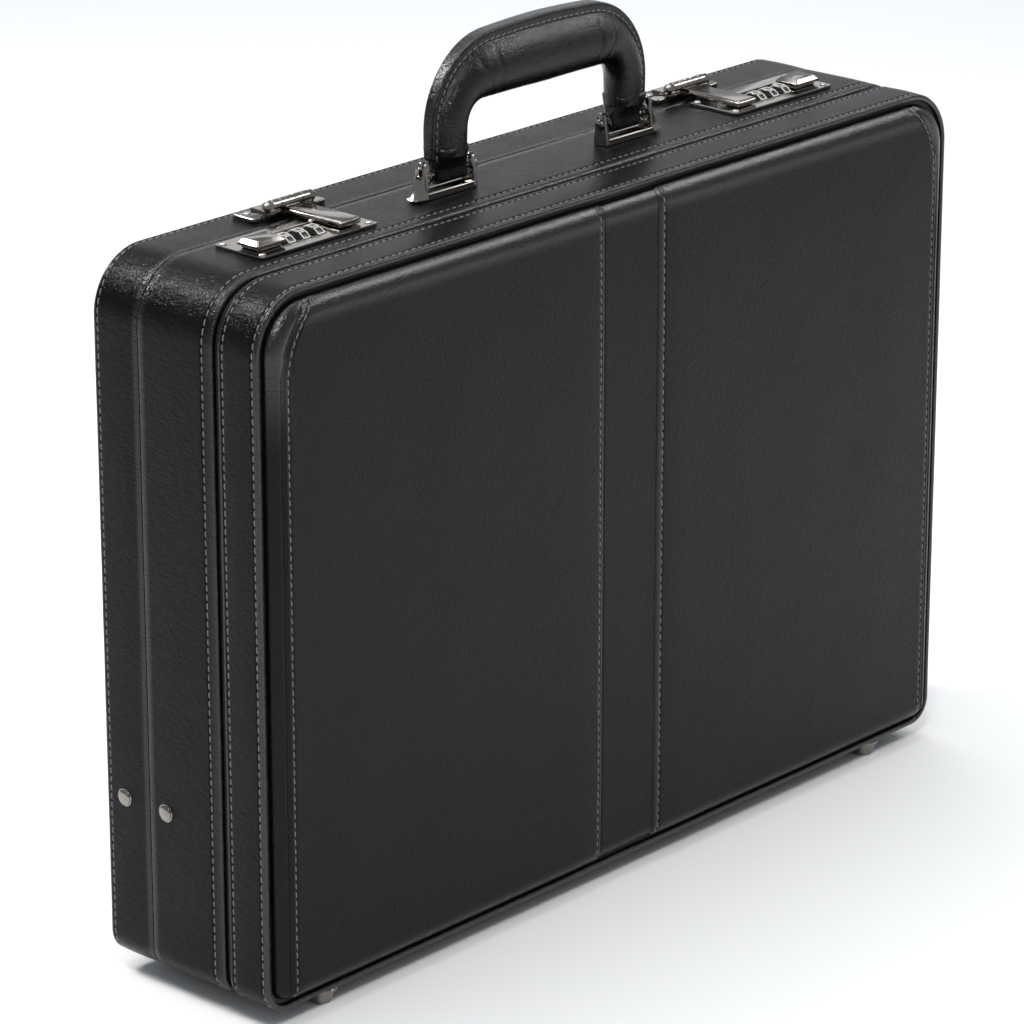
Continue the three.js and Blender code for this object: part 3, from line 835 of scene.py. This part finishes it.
def pad_point(x, z, nx, nz, inset, turn, side):
    """A point on the pad. Turn runs from 0 at the pad's wall to a right angle on its face."""
    relief = pad_relief(x, z, inset)
    depth = PAD_FACE - PAD_BACK - 0.05
    height = PAD_BACK + 0.1 + (depth - 0.1) * math.sin(turn) - relief * math.sin(turn)
    back = relief * math.cos(turn) * 0.8
    return (x - nx * back, side * height, z - nz * back)


def ring_points(inset):
    """A ring of the pad at an inset, as rows of x, z and the outward normal."""
    half, low, high, top, bottom = outline_parts(PAD_INSET + inset)
    fixed = 60.0
    near_strap = [STRAP_HALF + k * 0.45 for k in range(-4, 14)]
    inner = sorted({0.0, 6.0, 12.0, 15.0, *near_strap, 30.0, 38.0, 46.0, 54.0, fixed})
    rows = []

    def columns(corner, z, normal, direction):
        end = half - corner
        far = [fixed + (end - fixed) * t for t in np.linspace(0, 1, 42)[1:]]
        right = inner + far
        line = [-x for x in reversed(right[1:])] + right
        if direction < 0:
            line = line[::-1]
        rows.extend((x, z, 0, normal) for x in line)

    def rise(x, z0, z1, normal):
        for t in np.linspace(0, 1, 66)[1:-1]:
            rows.append((x, z0 + (z1 - z0) * t, normal, 0))

    def corner(cx, cz, radius, start, steps):
        for a in np.radians(np.linspace(start, start + 90, steps)[1:-1]):
            rows.append((
                cx + radius * math.cos(a), cz + radius * math.sin(a), math.cos(a), math.sin(a),
            ))

    columns(bottom, low, -1, 1)
    corner(half - bottom, low + bottom, bottom, 270, 14)
    rise(half, low + bottom, high - top, 1)
    corner(half - top, high - top, top, 0, 56)
    columns(top, high, 1, -1)
    corner(-half + top, high - top, top, 90, 56)
    rise(-half, high - top, low + bottom, -1)
    corner(-half + bottom, low + bottom, bottom, 180, 14)
    return rows


def pad_insets():
    """Insets of the pad's rings with the turn of the rolled edge at each."""
    rings = [(PAD_ROLL * (1 - math.cos(a)), a) for a in np.radians(np.linspace(0, 90, 15))]
    flat = math.pi / 2
    rings += [(d, flat) for d in np.arange(PAD_ROLL + 0.7, 26, 0.7)]
    middle = (TOP - BOTTOM) / 2 - PAD_INSET
    rings += [(d, flat) for d in np.arange(28, middle - 4, 3.5)]
    return rings + [(middle, flat)]


def add_pad(name, side, body):
    rings = [[(x, side * PAD_BACK, z) for x, z, _, _ in ring_points(0.6)]]
    for inset, turn in pad_insets():
        rings.append([pad_point(*spot, inset, turn, side) for spot in ring_points(inset)])
    piece = new_object(f"padded_{name}", loft(name, rings, end_cap=False), pad_leather)
    set_polish(piece, pad_polish)
    place_piece(piece, body, "padded_leather", name)
    add_pad_stitches(name, side, body)


def pad_inset(x, z):
    """How far a point of the outline plane is from the pad's edge."""
    half, low, high, top, _ = outline_parts(PAD_INSET)
    inset = min(high - z, z - low, half - abs(x))
    if z > high - top and abs(x) > half - top:
        inset = top - math.hypot(abs(x) - half + top, z - high + top)
    return max(inset, 0.0)


def pad_polish(x, y, z):
    """The rolled edge and the strip seams' upper corners shine more than the face."""
    upper = smooth(z, TOP - 70, TOP - 22)
    roll = 1 - smooth(pad_inset(x, z), 4.0, 13.0)
    strip = 1 - smooth(seam_offset(x, z), -0.5, 1.5)
    turned_edge = math.exp(-(((abs(x) - STRAP_HALF - 1.0) / 1.2) ** 2))
    return max(upper * roll, upper * strip, 0.7 * turned_edge)


def pad_surface(x, z, side):
    """The point and outward direction on the pad's skin over a point of the outline plane."""
    _, low, high, _, _ = outline_parts(PAD_INSET)
    inset = pad_inset(x, z)
    turn = math.acos(max(1 - inset / PAD_ROLL, 0.0)) if inset < PAD_ROLL else math.pi / 2
    up = 1 if z > (low + high) / 2 else -1
    point = pad_point(x, z, 0, up, inset, turn, side)
    return point, (0, side * math.sin(turn), up * math.cos(turn))


def add_pad_stitches(name, side, body):
    _, low, high, _, _ = outline_parts(PAD_INSET)
    start, end = low + 0.8, high - 0.8
    heights = np.concatenate([
        start + 8 * np.linspace(0, 1, 12) ** 2, np.arange(start + 10, end - 10, 4),
        end - 8 * np.linspace(1, 0, 12) ** 2,
    ])
    for part, across in (
        ("strap", lambda z: STRAP_HALF + STITCH_INSET),
        ("end", lambda z: seam_x(z) - STITCH_INSET),
    ):
        for sign in (-1, 1):
            spots = [pad_surface(sign * across(z), z, side) for z in heights]
            label = f"{name}_{part}_stitches_{side_name(sign)}"
            stitch_line(label, [p for p, _ in spots], [v for _, v in spots], body, "padded_leather")


# ---- Handle ----


LEG_WIDTH = 20.5
GRIP_OPENING = TOP + 38.8
GRIP_OUTER_RADIUS = 40.0
GRIP_INNER_RADIUS = 10.0


def handle_curves(count=120):
    """Matching points on the inner and the outer edge of the handle, from left to right."""
    grip_low, grip_high = limits("handle_grip")
    outer_x = (grip_high[0] - grip_low[0]) / 2
    inner_x = outer_x - LEG_WIDTH
    foot, top = grip_low[2], grip_high[2]
    outer_center = (outer_x - GRIP_OUTER_RADIUS, top - 1.2 - GRIP_OUTER_RADIUS)
    inner_center = (inner_x - GRIP_INNER_RADIUS, GRIP_OPENING - GRIP_INNER_RADIUS)
    right_outer = [(outer_x, foot), (outer_x, foot + 7)]
    right_outer += arc(outer_center, GRIP_OUTER_RADIUS, 0, 90, 16) + [(15, top - 0.4), (0, top)]
    right_inner = [(inner_x - 0.8, foot), (inner_x - 0.3, foot + 7)]
    right_inner += arc(inner_center, GRIP_INNER_RADIUS, 0, 90, 16)
    right_inner += [(15, GRIP_OPENING), (0, GRIP_OPENING - 0.3)]
    curves = []
    for right in (right_inner, right_outer):
        half = np.array(right)
        whole = np.vstack([half[:-1], half[::-1] * (-1, 1)])
        steps = np.linalg.norm(np.diff(whole, axis=0), axis=1)
        along = np.concatenate([[0], np.cumsum(steps)]) / steps.sum()
        spots = np.linspace(0, 1, count)
        keys = np.linspace(0, 1, len(whole))
        blend = 0.5 * np.interp(spots, keys, along) + 0.5 * spots
        curve = np.column_stack([np.interp(blend, along, whole[:, k]) for k in (0, 1)])
        for _ in range(4):
            curve[1:-1] = (curve[:-2] + 2 * curve[1:-1] + curve[2:]) / 4
        curve[:, 0] += HANDLE_X
        curves.append(curve[::-1])
    return curves


def handle_section():
    """Half widths across the handle, from the finger side to the outer welt, as (t, width)."""
    return [
        (0.0, 0.0), (0.006, 2.4), (0.03, 4.8), (0.08, 7.2), (0.15, 9.0), (0.24, 10.2), (0.34, 10.6),
        (0.44, 10.5), (0.54, 9.9), (0.63, 8.9), (0.71, 7.5), (0.77, 6.0), (0.81, 4.7), (0.84, 3.9),
        (0.87, 3.7), (0.90, 3.9), (0.94, 4.0), (0.975, 3.9), (0.992, 3.5), (1.0, 2.8), (1.0, 0.0),
    ]


def crease(s, place, width=0.004):
    return math.exp(-(((s - place) / width) ** 2))


def add_handle():
    """The grip and its legs: one padded tube with a flat outer welt, sewn along both sides."""
    inner, outer = handle_curves()
    count = len(inner)
    rings = []
    stitches = {-1: [], 1: []}
    for k in range(count):
        s = k / (count - 1)
        from_foot = min(s, 1 - s)
        fullness = 0.74 + 0.08 * smooth(from_foot, 0.0, 0.08) + 0.18 * smooth(from_foot, 0.18, 0.36)
        crease_depth = sum(crease(s, place) for place in (0.30, 0.37, 0.63, 0.70))
        half = []
        for t, width in handle_section():
            body_part = smooth(t, 0.0, 0.1) * (1 - smooth(t, 0.72, 0.8))
            size = width * fullness - 0.7 * crease_depth * body_part
            size += 0.10 * body_part * noise.noise(Vector((s * 9, t * 2, 1.7)))
            place = inner[k] + (outer[k] - inner[k]) * (t + 0.004 * crease_depth * (1 - t))
            half.append((place, max(size, 0.0)))
        ring = [(p[0], HANDLE_Y - w, p[1]) for p, w in half]
        ring += [(p[0], HANDLE_Y + w, p[1]) for p, w in reversed(half[1:-1])]
        rings.append(ring)
        seam = inner[k] + (outer[k] - inner[k]) * 0.875
        for sign in (-1, 1):
            stitches[sign].append((seam[0], HANDLE_Y + sign * 3.7 * fullness, seam[1]))
    piece = new_object("grip", loft("grip", rings), grip_leather)
    modifier = piece.modifiers.new("subdivide", "SUBSURF")
    modifier.levels = 2
    apply_modifiers(piece)
    place_piece(piece, "handle", "leather", "handle_grip")
    for sign, label in ((-1, "front"), (1, "back")):
        normals = [(0, sign, 0)] * count
        stitch_line(f"grip_stitches_{label}", stitches[sign], normals, "handle", pitch=3.6)
    for side in (-1, 1):
        add_handle_end(side)


def add_handle_end(side):
    """The foot of a leg: it narrows to a rounded tab round the pin, between two loose rings."""
    low, high = limits("handle_end_right")
    leg_outer = limits("handle_grip")[1][0]
    leg_inner = leg_outer - 21.0
    top = high[2] + 6.0
    rings = []
    for t in np.linspace(0, 1, 18):
        z = top + (low[2] + 0.6 - top) * t
        end = math.sqrt(max(1 - max((t - 0.86) / 0.15, 0.0) ** 2, 0.04))
        depth = (7.6 - 3.1 * smooth(t, 0.05, 0.65)) * end
        x0 = leg_inner + 0.6 - 2.2 * smooth(t, 0.15, 0.7) + 1.2 * (1 - end)
        x1 = leg_outer - 2.6 - 0.6 * smooth(t, 0.15, 0.6) - 1.2 * (1 - end)
        corner = min(4.2, depth * 0.9)
        outline = rounded_rectangle(x0, x1, HANDLE_Y - depth, HANDLE_Y + depth, corner, 7)
        rings.append([(x, y, z) for x, y in outline])
    piece = new_object(f"grip_end_{side_name(side)}", loft("grip_end", rings), grip_leather)
    mirrored(piece, side, HANDLE_X)
    place_piece(piece, "handle", "leather", f"handle_end_{side_name(side)}")


# ---- Handle brackets ----


def ear_outline(base_half, top_half, low, high, steps=8):
    """A tapered ear with a rounded top, in Y and Z."""
    points = [(HANDLE_Y + base_half, low)]
    points += arc((HANDLE_Y, high - top_half), top_half, 0, 180, steps)
    points += [(HANDLE_Y - base_half, low)]
    return points


def add_bracket(side):
    """A saddle: a floor with two rails, a plain inner ear, and an outer ear on a flared foot."""
    name = side_name(side)
    low, high = limits("handle_bracket_right")
    inner, flare = low[0], high[0]
    outer = flare - 2.5
    base = low[2]
    half = (high[1] - low[1]) / 2
    low_ear = ear_outline(half, half * 0.66, base, high[2] - 1.6)
    high_ear = ear_outline(half, half * 0.66, base, high[2] + 0.2)
    floor_outline = rounded_rectangle(inner + 0.6, flare, HANDLE_Y - half, HANDLE_Y + half, 1.2)
    parts = [
        prism("ear", low_ear, inner, inner + 2.6, 0),
        prism("ear", high_ear, outer - 2.4, outer, 0),
        prism("floor", floor_outline, base, base + 1.7, 2),
    ]
    for edge in (-1, 1):
        rail_y = HANDLE_Y + edge * (half - 0.7)
        rail_low = (inner + 2, rail_y - 0.7, base + 1)
        parts.append(box("rail", rail_low, (outer - 1, rail_y + 0.7, base + 3.0)))
    for part in parts:
        bevelled(part, 0.5, 3)
    rings = []
    for t in np.linspace(0, 1, 13):
        z = base + 0.9 + (high[2] - 3.0 - base) * t
        reach = outer + 0.35 + 5.6 * (1 - t) ** 2.4
        width = half * (1.0 - 0.30 * t) + 0.9 * math.exp(-((t / 0.12) ** 2))
        rings.append([
            (outer - 1.2, HANDLE_Y - width, z), (outer - 1.2, HANDLE_Y + width, z),
            (reach, HANDLE_Y + width * 0.72, z), (reach + 0.15, HANDLE_Y, z - 0.1),
            (reach, HANDLE_Y - width * 0.72, z),
        ])
    parts.append(bevelled(new_object("foot", loft("foot", rings), nickel), 0.4, 2, 25))
    fit_hardware(f"bracket_{name}", parts, side, "base", f"handle_bracket_{name}", middle=HANDLE_X)
    add_handle_pin(side)


def add_handle_pin(side):
    """The pivot pin with a slotted head, and a loose washer ring at each side of the leg."""
    name = side_name(side)
    low, high = limits("handle_pivot_pin_right")
    center = (0, HANDLE_Y, HANDLE_Z)
    shank = 1.5
    profile = [
        (0.0, low[0]), (shank, low[0]), (2.3, low[0] + 0.25), (2.7, low[0] + 0.8), (2.7, low[0] + 1.3),
        (shank, low[0] + 1.3), (shank, high[0] - 0.4), (shank - 0.4, high[0]), (0.0, high[0]),
    ]
    pin = turned("pin", profile, center, 0, steps=28)
    slot = box("slot", (low[0] - 1, -2.2, -0.35), (low[0] + 0.45, 2.2, 0.35))
    slot.data.transform(Matrix.Translation(Vector(center) * MM) @ Matrix.Rotation(0.6, 4, "X"))
    cut_away(pin, [slot])
    tab_low, tab_high = limits("handle_end_right")
    washers = [ring_washer(x, 3.6, 0.42, center) for x in (tab_low[0] + 0.5, tab_high[0] - 0.5)]
    node = f"handle_pivot_pin_{name}"
    fit_hardware(f"pin_{name}", [pin, *washers], side, "base", node, middle=HANDLE_X)


def ring_washer(x, radius, thickness, center):
    """A round wire ring on the pin, square to X."""
    turns = np.linspace(0, 2 * math.pi, 8, endpoint=False)
    profile = [(radius + thickness * math.cos(b), x + thickness * math.sin(b)) for b in turns]
    return turned("washer", profile, center, 0, steps=36, wrapped=True)


# ---- Locks ----


def dome_rivet(name, x, y, z, radius, height):
    """A flat-domed rivet head standing on a surface that faces up."""
    profile = [(0.0, -0.4), (radius, -0.4), (radius, height * 0.25)]
    profile += [
        (radius * math.cos(a), height * (0.25 + 0.75 * math.sin(a)))
        for a in np.radians(np.linspace(12, 84, 6))
    ]
    return turned(name, profile + [(0.0, height)], (x, y, z), 2, steel, 20)


def add_lock_plate(side):
    """The plate with its dial and button slots, four rivets, and a raised bar behind the dials."""
    name = side_name(side)
    low, high = limits("lock_plate_right")
    plate = prism("plate", rounded_rectangle(low[0], high[0], low[1], high[1], 2.0), low[2], high[2], 2)
    cutters = []
    for index in (1, 2, 3):
        dial_low, dial_high = limits(f"dial_right_{index}")
        slot_low = (dial_low[0] - 0.3, -6.6, low[2] - 2)
        cutters.append(box("slot", slot_low, (dial_high[0] + 0.3, 6.6, high[2] + 2)))
    button_low, button_high = limits("lock_button_right")
    middle = (button_low[0] + button_high[0]) / 2
    cutters.append(box("slot", (middle - 3.3, -3.8, low[2] - 2), (middle + 7.3, 3.8, high[2] + 2)))
    cut_away(plate, cutters)
    bevelled(plate, 0.3, 2)
    edge = 3.0
    rivets = [
        dome_rivet("rivet", x, y, high[2], 1.7, 0.8)
        for x in (low[0] + edge, high[0] - edge) for y in (low[1] + edge, high[1] - edge)
    ]
    bar_low = (limits("dial_right_1")[0][0] - 4.2, 8.0, high[2] - 0.2)
    bar_high = (limits("dial_right_3")[1][0] + 3.0, 9.6, high[2] + 0.8)
    bar = bevelled(box("bar", bar_low, bar_high), 0.4, 2)
    ball = dome_rivet("ball", bar_low[0] - 1.5, 9.0, high[2], 1.2, 1.6)
    fit_hardware(f"plate_{name}", [plate, *rivets, bar, ball], side, "base", f"lock_plate_{name}")


def add_lock_button(side):
    """A block on a narrow neck with a bevelled cap."""
    name = side_name(side)
    low, high = limits("lock_button_right")
    plate_top = limits("lock_plate_right")[1][2]
    top = high[2]
    middle = (low[0] + high[0]) / 2
    neck = box("neck", (middle - 2.9, -3.4, low[2]), (middle + 2.9, 3.4, plate_top + 1.2))
    outline = rounded_rectangle(low[0] + 1.3, high[0] - 1.3, low[1] + 1.2, high[1] - 1.2, 1.4)
    skirt = prism("skirt", outline, plate_top + 0.25, top - 1.6, 2)
    for part in (neck, skirt):
        bevelled(part, 0.4, 2)
    rings = []
    for inset, drop in ((0.7, 3.1), (0.0, 2.7), (0.0, 1.7), (1.7, 0.0)):
        outline = rounded_rectangle(low[0] + inset, high[0] - inset, low[1] + inset, high[1] - inset, 1.0)
        rings.append([(x, y, top - drop) for x, y in outline])
    cap = bevelled(new_object("cap", loft("cap", rings), nickel), 0.25, 1, 25)
    node = f"lock_button_{name}"
    fit_hardware(f"button_{name}", [neck, skirt, cap], side, node, node)


def digit_mesh(text, size):
    """A flat, slightly raised digit centred on the origin in the XY plane."""
    curve = bpy.data.curves.new("digit", "FONT")
    curve.body = text
    curve.size = size
    curve.extrude = 0.06
    curve.align_x = "CENTER"
    curve.align_y = "CENTER"
    curve.resolution_u = 2
    holder = bpy.data.objects.new("digit", curve)
    bpy.context.collection.objects.link(holder)
    graph = bpy.context.evaluated_depsgraph_get()
    mesh = bpy.data.meshes.new_from_object(holder.evaluated_get(graph))
    bpy.data.objects.remove(holder)
    bpy.data.curves.remove(curve)
    return mesh


def frame_bars(width, height, line, rise):
    """Four thin bars that frame a digit, as boxes (low, high) in the XY plane."""
    w, h = width / 2, height / 2
    return [
        ((-w, -h, 0), (w, -h + line, rise)), ((-w, h - line, 0), (w, h, rise)),
        ((-w, -h + line, 0), (-w + line, h - line, rise)), ((w - line, -h + line, 0), (w, h - line, rise)),
    ]


def add_dial(side, index):
    """A round number wheel with ten raised, framed digits."""
    name = f"{side_name(side)}_{index}"
    low, high = limits(f"dial_{name}")
    center = (low + high) / 2
    radius = (high[2] - low[2]) / 2
    width = high[0] - low[0]
    bore = 1.65
    profile = [
        (bore, -width / 2), (radius - 0.5, -width / 2), (radius - 0.1, -width / 2 + 0.3),
        (radius - 0.1, width / 2 - 0.3), (radius - 0.5, width / 2), (bore, width / 2),
    ]
    wheel = turned("wheel", profile, center, 0, dial_black, 40, wrapped=True)
    bevelled(wheel, 0.12, 2, 40)
    marks = bmesh.new()
    for digit in range(10):
        spin = Matrix.Rotation(2 * math.pi * digit / 10, 4, "X")
        turn = Matrix.Translation(Vector(center)) @ spin @ Matrix.Translation((0, 0, radius - 0.28))
        text = digit_mesh(str(digit), 3.3)
        text.transform(turn)
        marks.from_mesh(text)
        bpy.data.meshes.remove(text)
        for bar_low, bar_high in frame_bars(width - 0.5, 3.7, 0.34, 0.34):
            bar = box("bar", bar_low, bar_high, white_paint)
            bar.data.transform(turn @ Matrix.Scale(1 / MM, 4))
            marks.from_mesh(bar.data)
            bpy.data.objects.remove(bar)
    mesh = bpy.data.meshes.new("marks")
    marks.to_mesh(mesh)
    marks.free()
    mesh.transform(Matrix.Scale(MM, 4))
    numbers = new_object("numbers", mesh, white_paint, smooth=False)
    piece = joined(f"wheel_{name}", [wheel, numbers])
    place_piece(piece, f"dial_{name}", "dial", f"dial_{name}")


def hasp_axis():
    """Y and Z of the hasps' pins."""
    low, high = limits("hasp_pin_right")
    return (low[1] + high[1]) / 2, (low[2] + high[2]) / 2


KNUCKLE = 2.8                 # radius of the barrel round the pin
PIN_BORE = 1.25


def knuckle(start, end, center, grooves=()):
    """A barrel with chamfered ends along X, and a narrow groove at each given place."""
    inward = math.copysign(0.25, end - start)
    profile = [(PIN_BORE, start), (KNUCKLE - 0.2, start), (KNUCKLE, start + inward)]
    for place in grooves:
        profile += [(KNUCKLE, place - 0.3), (KNUCKLE - 0.18, place - 0.15)]
        profile += [(KNUCKLE - 0.18, place + 0.15), (KNUCKLE, place + 0.3)]
    profile += [(KNUCKLE, end - inward), (KNUCKLE - 0.2, end), (PIN_BORE, end)]
    return turned("knuckle", profile, center, 0, wrapped=True)


def add_hasp(side):
    """The tongue: a bevelled bar, a stepped root, the middle knuckle and the latch below."""
    name = side_name(side)
    low, high = limits("hasp_right")
    axis_y, axis_z = hasp_axis()
    left, right, under = low[0], high[0], low[2]
    middle = (left + right) / 2
    half = (right - left) / 2
    over = under + 3.0
    rings = []
    for inset, z in ((0.5, under), (0.0, under + 0.5), (0.0, over - 1.0), (0.3, over - 0.5), (1.3, over)):
        end = axis_y - 6 - inset * 0.4
        outline = rounded_rectangle(left + inset, right - inset, low[1] + inset, end, 0.8)
        rings.append([(x, y, z) for x, y in outline])
    tongue = bevelled(new_object("tongue", loft("tongue", rings), nickel), 0.2, 1, 25)
    root = box("root", (left + 2.0, axis_y - 8.5, under + 1.1), (right - 2.0, axis_y - 0.5, over - 0.4))
    bevelled(root, 0.5, 2)
    barrel = knuckle(0.1 - half, half - 0.1, (middle, axis_y, axis_z), (-2.0, 2.0))
    latch_low = (left + 0.6, low[1] + 2.4, under - 0.02)
    latch = box("latch", latch_low, (right - 0.6, low[1] + 17, under + 0.6), dark_metal)
    bevelled(latch, 0.2, 2)
    node = f"hasp_{name}"
    fit_hardware(f"tongue_{name}", [tongue, root, barrel, latch], side, node, node)


def add_hasp_bracket(side):
    """The lid-side plate with its two outer knuckles, end cones and rivets."""
    name = side_name(side)
    low, high = limits("hasp_bracket_right")
    axis_y, axis_z = hasp_axis()
    middle = (low[0] + high[0]) / 2
    center = (middle, axis_y, axis_z)
    hasp_half = (limits("hasp_right")[1][0] - limits("hasp_right")[0][0]) / 2
    top = low[2] + 2.0
    outline = rounded_rectangle(low[0], high[0], low[1] + 3.5, high[1], 1.6)
    plate = bevelled(prism("plate", outline, low[2], top, 2), 0.5, 3)
    step = box("step", (middle - 13, axis_y - 3.4, top - 0.4), (middle + 13, high[1] - 2.5, top + 1.3))
    cradle_low = (middle - hasp_half - 0.2, axis_y - 4, top - 0.5)
    cradle = box("cradle", cradle_low, (middle + hasp_half + 0.2, axis_y + 3.4, top + 6))
    cut_away(step, [cradle])
    parts = [plate, bevelled(step, 0.4, 2)]
    near, far = hasp_half + 0.25, 11.0
    for end in (-1, 1):
        parts.append(knuckle(end * near, end * far, center))
        cheek_low, cheek_high = sorted((middle + end * (near + 0.2), middle + end * (far - 0.4)))
        cheek = box("cheek", (cheek_low, axis_y - 1.9, top - 0.5), (cheek_high, axis_y + 1.9, axis_z))
        parts.append(bevelled(cheek, 0.3, 2))
        cone = [(0.0, 0.0), (2.7, 0.0), (2.7, 2.2), (1.6, 4.0), (1.2, 4.3), (0.0, 4.3)]
        cone = [(r, end * (far + 0.1 + x)) for r, x in cone]
        parts.append(turned("cone", cone, center, 0, steps=8))
        parts.append(dome_rivet("rivet", middle + end * 17.6, high[1] - 5.2, top, 1.9, 0.8))
    nodes = (f"hasp_bracket_{name}", f"hasp_pin_{name}")
    fit_hardware(f"lid_bracket_{name}", parts, side, "lid", *nodes)


# ---- Feet, rivets and the rest ----


def add_foot(node, body):
    """A turned stud foot with a flange against the leather and a screw socket below."""
    low, high = limits(node)
    center = (low + high) / 2
    height = high[2] - low[2]
    profile = [
        (0.0, 0.9), (1.5, 0.9), (1.8, 0.0), (4.3, 0.0), (4.8, 0.25), (5.0, 0.7), (5.3, 2.0), (5.9, 3.8),
        (6.6, 5.2), (6.9, 5.7), (7.5, 6.0), (7.6, 6.5), (7.6, height - 0.4), (7.2, height), (0.0, height),
    ]
    name = node.replace("foot", "stud")
    piece = turned(name, profile, (center[0], center[1], low[2]), 2, steps=40)
    place_piece(piece, body, "hardware", node)


def add_side_rivet(node, body):
    """A domed pivot rivet with a rim, standing on a side wall."""
    low, high = limits(node)
    center = (low + high) / 2
    side = math.copysign(1, center[0])
    radius = (high[1] - low[1]) / 2
    inner = low[0] if side > 0 else -high[0]
    face = HALF_WIDTH + 0.15
    profile = [(0.0, inner), (1.55, inner), (1.55, face - 0.4), (radius - 0.3, face - 0.4)]
    profile += [(radius, face), (radius, face + 0.35), (radius - 0.35, face + 0.6)]
    profile += [
        ((radius - 0.7) * math.cos(a), face + 0.55 + 1.1 * math.sin(a))
        for a in np.radians(np.linspace(0, 86, 9))
    ]
    profile += [(0.0, face + 1.66)]
    name = node.replace("stay_rivet", "dome")
    piece = turned(name, [(r, side * x) for r, x in profile], (0, center[1], center[2]), 0, steps=36)
    place_piece(piece, body, "hardware", node)


def refine_node(node, slot, material, width, name, body, angle=30):
    """A CAD node's own shape with rounded edges."""
    source = frame["nodes"][node].data.copy()
    source.materials.clear()
    bm = bmesh.new()
    bm.from_mesh(source)
    bmesh.ops.remove_doubles(bm, verts=bm.verts, dist=0.002 * MM)
    bmesh.ops.dissolve_limit(bm, angle_limit=math.radians(1.5), verts=bm.verts, edges=bm.edges)
    bm.to_mesh(source)
    bm.free()
    piece = new_object(name, source, material)
    bevelled(piece, width, 2, angle)
    place_piece(piece, body, slot, node)


def add_small_hardware():
    for side in ("left", "right"):
        for link in ("lower", "upper"):
            node = f"stay_{link}_{side}"
            refine_node(node, "bright_metal", steel, 0.25, f"{link}_link_{side}", node, 40)
        refine_node(f"expander_slide_{side}", "bright_metal", steel, 0.4, f"slide_{side}", "front_shell")
        refine_node(f"lock_case_{side}", "dark_metal", dark_metal, 0.2, f"case_{side}", "base")
    for body in ("base", "lid"):
        refine_node(f"hinge_{body}_leaf", "dark_metal", dark_metal, 0.15, f"{body}_leaf", body, 40)


def set_cad_materials():
    """Better materials for the CAD nodes that stay in view."""
    by_slot = {
        "board": board, "lining": lining, "dark_metal": dark_metal,
        "bright_metal": steel, "hardware": nickel,
    }
    for entry in frame["record"]["subparts"]:
        material = by_slot.get(entry["material_slot"])
        if material is None:
            continue
        mesh = frame["nodes"][entry["node"]].data
        if mesh.materials:
            mesh.materials[0] = material
        else:
            mesh.materials.append(material)


# ---- The whole scene ----

add_camera()
add_stage()
set_cad_materials()
add_bands()
add_gusset()
add_pad("front_pad", -1, "front_shell")
add_pad("lid_pad", 1, "lid")
add_handle()
for end in (-1, 1):
    add_bracket(end)
    add_lock_plate(end)
    add_lock_button(end)
    add_hasp(end)
    add_hasp_bracket(end)
    for number in (1, 2, 3):
        add_dial(end, number)
    add_foot(f"foot_front_{side_name(end)}", "front_shell")
    add_foot(f"foot_rear_{side_name(end)}", "lid")
    add_side_rivet(f"base_stay_rivet_{side_name(end)}", "base")
    add_side_rivet(f"lid_stay_rivet_{side_name(end)}", "lid")
add_small_hardware()

bpy.context.view_layer.update()
